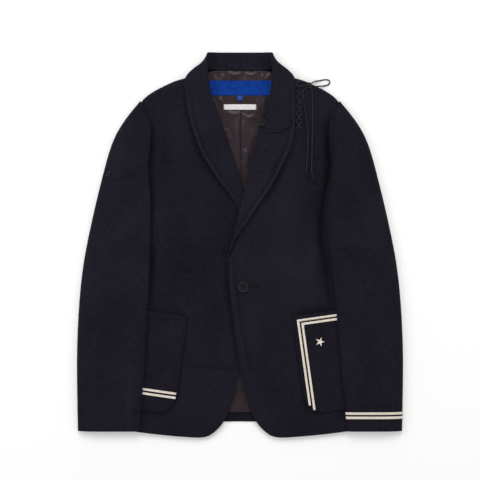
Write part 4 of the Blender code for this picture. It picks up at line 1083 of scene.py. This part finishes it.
fineStitch = {"length": 1.7, "width": 0.4}
smallStitch = {"pitch": 2.4, "length": 1.6, "width": 0.36}
sew("stitches_chest", [beside(seams["chest"], -3.2), beside(seams["chest"], 3.2)], "pale thread",
    width=0.9)
sew("stitches_low", [beside(seams["low"], -3.2), beside(seams["low"], 3.2)], "navy thread")
sew("stitches_yoke", [beside(seams["yoke"], 1.6)], "grey thread", pitch=2.4, **fineStitch)
sew("stitches_head", [beside(seams["sleeveHead"], 1.4)], "grey thread", pitch=2.4, **fineStitch)
sew("stitches_lapels", [beside(edgePaths["lapelLeft"], lapelStitch),
                        beside(edgePaths["lapelRight"], -lapelStitch)], "navy thread")
sew("stitches_edges", [beside(edgePaths["frontLeft"], -8), beside(edgePaths["frontRight"], 8)],
    "navy thread")
sew("stitches_pockets", [edge for side in (right, left) for edge in (
    pocketEdge(side, pocket["stitch"]), [pocketSpot(side, across, 11) for across in (3, 60, 116)])],
    "navy thread")
sew("stitches_tab", [tabEdge], "navy thread", pitch=2.8, length=2.1, width=0.5)
patchEdge = [(34.6, 196), (32, 209), (28.6, 226), (33, 231.2), (45, 233.2), (58, 230.6), (63, 226),
             (67.4, 212), (70.4, 200)]
sew("stitches_patch", [patchEdge], "grey thread", pitch=2.6, length=1.8, width=0.4)
sew("stitches_cuff", [[(212, 689.3), (262, 690), (315, 689.3)]], "dark thread")
sew("stitches_tapes", [beside([a, b], shift) for _, path in tapes for a, b in zip(path, path[1:])
                       for shift in (-1.75, 1.75)],
    "cream thread", slot="tape", tree="tapes", pitch=2.6, length=1.7, width=0.34)
sew("stitches_labels", [[(-59.5, 60.5), (-56.5, 84)], [(59.5, 60.5), (56.5, 84)]], "navy thread",
    slot="label_blue", tree="neck", **smallStitch)
sew("stitches_label_white", [[(-30.4, 105), (-30.4, 113.4)], [(30.4, 105), (30.4, 113.4)]],
    "grey thread", slot="label_white", tree="neck", **smallStitch)
sew("tack_sleeve", [fromPicture((106.4, 175.6), (107.4, 174.6)),
                    fromPicture((109.2, 172.6), (110.2, 171.6)),
                    fromPicture((108, 176), (109, 175.6))],
    "white thread", pitch=3, length=4.2, width=0.4)
sew("stitches_hem", [[(-186, 722), (-120, 728), (-70, 730)], [(186, 720), (120, 726), (80, 730)]],
    "navy thread", pitch=5, length=1.2, width=0.4)
backMiddle = [(0, 40), (0, 200), (0, 400), (0, 600), (0, 719)]
bands("seam_back", [backMiddle], weltProfile, "back", tree="under", step=4)
# a dark strip in the back's middle seam: painted shade
bands("seam_back_groove", [backMiddle], jointProfile, "seamShade", tree="under", step=4)
print("stitching")


# laces: criss-cross lacing beside the collar, then a bow with two hanging ends

lace = {
    "diameter": 2.6, "gap": 0.12, "window": 4.5, "slope": 0.9, "step": 1.3, "sides": 10,
    "knot": (134.6, 66.2), "knotRise": 2.9, "knotSize": (1.05, 0.95, 1.5),
    "tip": {"back": 9.5, "length": 11, "thick": 1.08},
    "loopInner": ((129.6, 64.2), (121.5, 61.2), (114, 61.2), (110.4, 65), (111.8, 69.2),
                  (116.5, 70), (123, 69.2), (129.9, 68.4)),
    "loopOuter": ((139.6, 64.2), (143.5, 60.5), (154.6, 57.5), (165.8, 55.5), (172.5, 56.3),
                  (175.3, 60.3), (172.5, 65), (165.8, 67.3), (154.6, 69.3), (146, 69.9),
                  (141.1, 68.6)),
    "turnOne": ((132.6, 67.8), (135.0, 68.4), (135.8, 70.4), (134.0, 72.2)),
    "turnTwo": ((139.0, 68.0), (136.8, 68.9), (136.6, 70.9), (138.2, 72.2)),
    "endOne": ((133.6, 71.7), (128, 73.6), (123.4, 77.5), (122.2, 85), (123.3, 96),
               (126.8, 117.4), (130.6, 142.5), (132.2, 164.8), (131.6, 192.7), (130, 217.8),
               (128.5, 237.3), (130.1, 248.4)),
    "endTwo": ((138.5, 71.7), (140, 82), (140.6, 96), (140.8, 117.4), (140.6, 150.9),
               (140.2, 178.8), (139.6, 206.3), (139.2, 234.4), (142.2, 248.4), (144.9, 259.5)),
}
lacing = {  # the hump, dive and depth of its strands are shares of their length or diameter
    "near": 110.6, "far": 122.0, "first": 77.0, "pitch": 15.2, "rows": 6, "eyelet": 1.75,
    "drift": 0.5, "hump": 0.86, "humpWidth": 0.22, "dive": 0.14, "depth": 0.9,
}


def tubeMesh(path, diameter, sides):  # a round-ended tube along a path in mm (x, down, z)
    points = [spot(*point) for point in path]
    ways = [(b - a).normalized() for a, b in zip(points, points[1:])]
    ways = [ways[0]] + [(a + b).normalized() for a, b in zip(ways, ways[1:])] + [ways[-1]]
    side = ways[0].cross(Vector((0, 0, 1)))
    if side.length < 1e-6:
        side = Vector((1, 0, 0))
    rings, run, last = [], 0.0, points[0]
    for point, way in zip(points, ways):
        side = (side - way * side.dot(way)).normalized()
        run += (point - last).length
        last = point
        rings.append((point, way, side, diameter / 2 * mm, run))
    first, end = rings[0], rings[-1]
    for reach, share in ((0.55, 0.92), (0.9, 0.5)):  # rings that round the ends, in radii
        rings.insert(0, (first[0] - first[1] * first[3] * reach, first[1], first[2],
                         first[3] * share, 0))
        rings.append((end[0] + end[1] * end[3] * reach, end[1], end[2], end[3] * share, end[4]))
    corners, faces, along, across = [], [], [], []
    for place, way, side, radius, run in rings:
        other = way.cross(side)
        for k in range(sides):
            turn = k / sides * math.tau
            corners.append(tuple(place + (side * math.cos(turn) + other * math.sin(turn)) * radius))
            along.append(run)
            across.append(turn)
    for r in range(len(rings) - 1):
        for k in range(sides):
            a, b = r * sides + k, r * sides + (k + 1) % sides
            faces.append([a, b, b + sides, a + sides])
    faces.append(list(range(sides))[::-1])
    faces.append([len(corners) - sides + k for k in range(sides)])
    return corners, faces, along, across


def cordPiece(name, paths, diameter, material="lace", sides=lace["sides"]):
    corners, faces, along, across = [], [], [], []
    for path in paths:
        start = len(corners)
        more = tubeMesh(path, diameter, sides)
        corners += more[0]
        faces += [[start + i for i in face] for face in more[1]]
        along += more[2]
        across += more[3]
    return meshPiece(name, corners, faces, material,
                     (("along", along), ("across", across)))


def layOn(plan, step=lace["step"]):  # a lace's route over the cloth and past its edge
    path = smoothPath(plan, step)
    reach = lace["diameter"] / 2
    heights = []
    for x, down in path:
        near = [ground(x + a, down + b)[0] for a in (-reach, 0, reach) for b in (-reach, 0, reach)]
        heights.append(max([place.z / mm for place in near if place] + [0]) + reach + lace["gap"])
    apart = np.linalg.norm(path[:, None] - path[None], axis=2)
    level = np.where(apart < lace["window"], np.array(heights)[None], 0).max(axis=1)
    level = (level[None] - apart * lace["slope"]).max(axis=1)
    soft = np.convolve(np.pad(level, 2, mode="edge"), np.ones(5) / 5, mode="valid")
    return np.column_stack([path, np.maximum(level - 0.3, soft)])


def crossing(row, over):  # one strand from an eyelet to the next one across, under or over
    drift = lacing["drift"] * row
    down = lacing["first"] + lacing["pitch"] * row
    sides = [lacing["near"] - drift, lacing["far"] - drift]
    start, end = sides if over else sides[::-1]
    path = layOn([(start, down), (end, down + lacing["pitch"])], step=1.0)
    share = np.linspace(0, 1, len(path))
    high = lace["diameter"] * lacing["hump"] if over else 0
    hump = np.exp(-(((share - 0.5) / lacing["humpWidth"]) ** 2)) * high
    dive = np.clip(np.minimum(share, 1 - share) / lacing["dive"], 0, 1) ** 0.5
    path[:, 2] += hump - (1 - dive) * (lace["diameter"] * lacing["depth"])
    return path


eyeletSpots = [np.array([lacing[end] - lacing["drift"] * row,
                         lacing["first"] + lacing["pitch"] * row])
               for row in range(lacing["rows"]) for end in ("near", "far")]
rungs = cordPiece("lacing", [crossing(row, over) for row in range(lacing["rows"] - 1)
                             for over in (False, True)], lace["diameter"])
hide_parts("lace_rungs")
trees["all"] = treeOf([*outside, *tapePieces.values(), rungs])

knotX, knotDown = lace["knot"]
underKnot = [ground(knotX + a, knotDown + b)[0] for a in (-3, 0, 3) for b in (-3, 0, 3)]
knotZ = max(place.z / mm for place in underKnot if place) + lace["knotRise"]


def throughKnot(loop, turn, end):  # from the knot round a loop, back through the knot and down
    turn = [(x, down, knotZ) for x, down in lace[turn]]
    return smoothPath(np.vstack([[(knotX, knotDown, knotZ)], layOn(lace[loop])[2:-1:2], turn,
                                 layOn(lace[end])[3::3]]), lace["step"])


turns = np.linspace(0, math.tau, 61)[:-1]
wide, tall, deep = lace["knotSize"]
trefoil = np.column_stack([
    knotX + (np.sin(turns) + 2 * np.sin(2 * turns)) * wide,
    knotDown + (np.cos(turns) - 2 * np.cos(2 * turns)) * tall,
    knotZ - np.sin(3 * turns) * deep])
knot = cordPiece("lace_bow_knot", [np.vstack([trefoil, trefoil[:2]])], lace["diameter"])
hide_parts("lace_knot")
for name, route, replaced in (
        ("lace_one", throughKnot("loopInner", "turnOne", "endOne"),
         ("lace_loop_inner", "lace_end_1")),
        ("lace_two", throughKnot("loopOuter", "turnTwo", "endTwo"),
         ("lace_loop_outer", "lace_end_2"))):
    piece = cordPiece(name, [route], lace["diameter"])
    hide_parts(*replaced)
    tail = route[-1] - route[-2]
    tail /= np.linalg.norm(tail)
    tipPath = np.array([route[-1] - tail * lace["tip"]["back"] + tail * t
                        for t in np.linspace(0, lace["tip"]["length"], 12)])
    tipPiece = cordPiece(name + "_tip", [tipPath], lace["diameter"] * lace["tip"]["thick"], "tip")
print("laces")


# buttons and buttonholes

buttons = (  # node, plan place, diameter, thickness, turn of its holes
    ("button_front", (6.4, 459.8), 20.5, 4.2, 0.35),
    ("button_collar", (42.9, 140.0), 14.0, 3.4, 0.8),
)
buttonForm = {  # shares of the radius, the thickness or, from hole on, the diameter
    "matt": 0.76, "rim": 0.16, "wall": 0.09, "floor": 0.3, "dish": 0.32, "sag": 0.05,
    "round": 0.055, "holes": 4, "hole": 0.085, "spread": 0.155, "thread": 0.05,
}


def makeButton(name, place, diameter, thickness, turn):
    radius, thick = diameter / 2 * mm, thickness * mm
    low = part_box(name)[0][2]
    bpy.ops.object.select_all(action="DESELECT")
    bpy.ops.mesh.primitive_cylinder_add(vertices=48, radius=radius, depth=thick,
                                        end_fill_type="NGON")
    button = bpy.context.object
    bpy.ops.object.mode_set(mode="EDIT")
    sheet = bmesh.from_edit_mesh(button.data)
    for face in sheet.faces:
        face.select_set(face.normal.z > 0.9)
    bmesh.update_edit_mesh(button.data)
    bpy.ops.mesh.inset(thickness=radius * buttonForm["rim"])
    bpy.ops.mesh.inset(thickness=radius * buttonForm["wall"], depth=-thick * buttonForm["dish"])
    bpy.ops.mesh.inset(thickness=radius * buttonForm["floor"], depth=-thick * buttonForm["sag"])
    bpy.ops.object.mode_set(mode="OBJECT")
    rim = button.modifiers.new("Rim", "BEVEL")
    rim.width, rim.segments, rim.limit_method = radius * buttonForm["round"], 3, "ANGLE"
    rim.angle_limit = math.radians(35)
    bpy.ops.object.modifier_apply(modifier="Rim")
    angles = [turn + (k + 0.5) * math.tau / buttonForm["holes"] for k in range(buttonForm["holes"])]
    drills = []
    for angle in angles:
        at = Vector((math.cos(angle), math.sin(angle), 0)) * diameter * buttonForm["spread"] * mm
        bpy.ops.mesh.primitive_cylinder_add(vertices=16, radius=diameter * buttonForm["hole"] * mm,
                                            depth=thick * 3, location=at)
        drills.append(bpy.context.object)
    pick(*drills)
    bpy.ops.object.join()
    drill = bpy.context.object
    pick(button)
    cut = button.modifiers.new("Holes", "BOOLEAN")
    cut.operation, cut.solver, cut.object = "DIFFERENCE", "EXACT", drill
    bpy.ops.object.modifier_apply(modifier="Holes")
    bpy.data.objects.remove(drill, do_unlink=True)
    centre = spot(*place)
    centre.z = low + thick / 2
    setCoordinates(button, coordinates(button) + np.array(centre))
    button.name = "horn_" + name
    button.data.materials.clear()
    button.data.materials.append(finish["horn"])
    button.data.materials.append(finish["dish"])
    for polygon in button.data.polygons:  # the dished middle is matt
        out = (polygon.center - centre).xy.length
        polygon.material_index = int(out < radius * buttonForm["matt"] and polygon.normal.z > 0.3)
    bpy.ops.object.shade_smooth_by_angle(angle=math.radians(32))
    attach(button, "root")
    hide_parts(name)
    threads, top = [], (centre.z + thick * (0.5 - buttonForm["dish"])) / mm
    foot = low / mm - 0.2
    x, down = place
    for pair in ((0, 1), (3, 2)):  # two double runs of thread over the middle, through the holes
        a, b = (np.array([math.cos(angles[k]), -math.sin(angles[k])]) * diameter
                * buttonForm["spread"] for k in pair)
        for shift in (-0.3, 0.3):
            off = np.array([-(b - a)[1], (b - a)[0]]) / np.linalg.norm(b - a) * shift
            one, two = a + off, b + off
            middle = (one + two) / 2
            route = [(one, foot), (one, top - 0.6), (one * 0.85 + middle * 0.15, top + 0.25),
                     (middle, top + 0.55), (two * 0.85 + middle * 0.15, top + 0.25),
                     (two, top - 0.6), (two, foot)]
            threads.append(smoothPath([(x + at[0], down + at[1], z) for at, z in route], 0.45))
    cordPiece("thread_" + name, threads, diameter * buttonForm["thread"], "grey thread",
              6)


for data in buttons:
    makeButton(*data)


buttonholeForm = {
    "purl": {"pitch": 0.62, "length": 1.9, "width": 0.5},
    "bar": {"pitch": 0.55, "length": 1.3, "width": 0.45},
    "barReach": 1.1, "opening": 2.5, "hole": 0.72, "holeSides": 14,
}


def buttonhole(name, ends, material, hole=True, eyelet=1.5, slitWidth=0.5):
    # ends: where the slit starts and the middle of its round end
    start, end = (np.array(point) for point in ends)
    way = end - start
    run = np.linalg.norm(way)
    way /= run
    across = np.array([-way[1], way[0]])
    opening = buttonholeForm["opening"]
    curve = [end + (way * math.cos(a) + across * math.sin(a)) * eyelet
             for a in np.linspace(-opening, opening, 15)]
    middle, aside = start + way * run * 0.5, across * slitWidth
    rim = [start - aside, middle - aside, *curve, middle + aside, start + aside]
    sew(name + "_purl", [rim], material, turn=math.pi / 2, **buttonholeForm["purl"])
    barEnd = across * buttonholeForm["barReach"]
    sew(name + "_bar", [[start - barEnd, start + barEnd]], material, turn=math.pi / 2,
        **buttonholeForm["bar"])
    # a dark strip along the slit: painted shade in the cut
    bands(name + "_slit", [[start, start + way * (run - 0.3)]],
          ((-slitWidth * 0.8, -0.2), (-slitWidth * 0.7, 0.12), (slitWidth * 0.7, 0.12),
           (slitWidth * 0.8, -0.2), (0, -0.3)), "gap", step=0.8)
    if not hole:
        return
    sides = buttonholeForm["holeSides"]
    centre, normal = ground(*end)
    a = normal.orthogonal().normalized()
    b = normal.cross(a)
    corners, faces = [], []
    for k in range(sides):
        t = k / sides * math.tau
        corners.append(tuple(centre + (a * math.cos(t) + b * math.sin(t)) * eyelet
                             * buttonholeForm["hole"] * mm + normal * 0.14 * mm))
    corners += [tuple(centre + normal * 0.2 * mm), tuple(centre - normal * 0.6 * mm)]
    faces += [[k, (k + 1) % sides, sides] for k in range(sides)]
    faces += [[(k + 1) % sides, k, sides + 1] for k in range(sides)]
    # a dark disc over the round end: painted shade of the hole
    meshPiece(name + "_hole", corners, faces, "gap")


buttonhole("buttonhole_front", fromPicture((249.4, 286.4), (257.2, 285.2)), "navy thread",
           slitWidth=0.3)
buttonhole("buttonhole_lapel", fromPicture((263.4, 146.2), (275.8, 151.2)), "grey thread",
           eyelet=1.7, slitWidth=0.4)
buttonhole("buttonhole_tab", fromPicture((266, 114.4), (262.6, 119.2)), "navy thread", hole=False)
around = [np.array([math.cos(a), math.sin(a)]) * lacing["eyelet"]
          for a in np.linspace(0, math.tau, 15)]
sew("eyelets", [[place + offset for offset in around] for place in eyeletSpots], "dark thread",
    pitch=0.75, length=1.5, width=0.55, turn=math.pi / 2)  # the lacing runs through them
print("buttons and buttonholes")
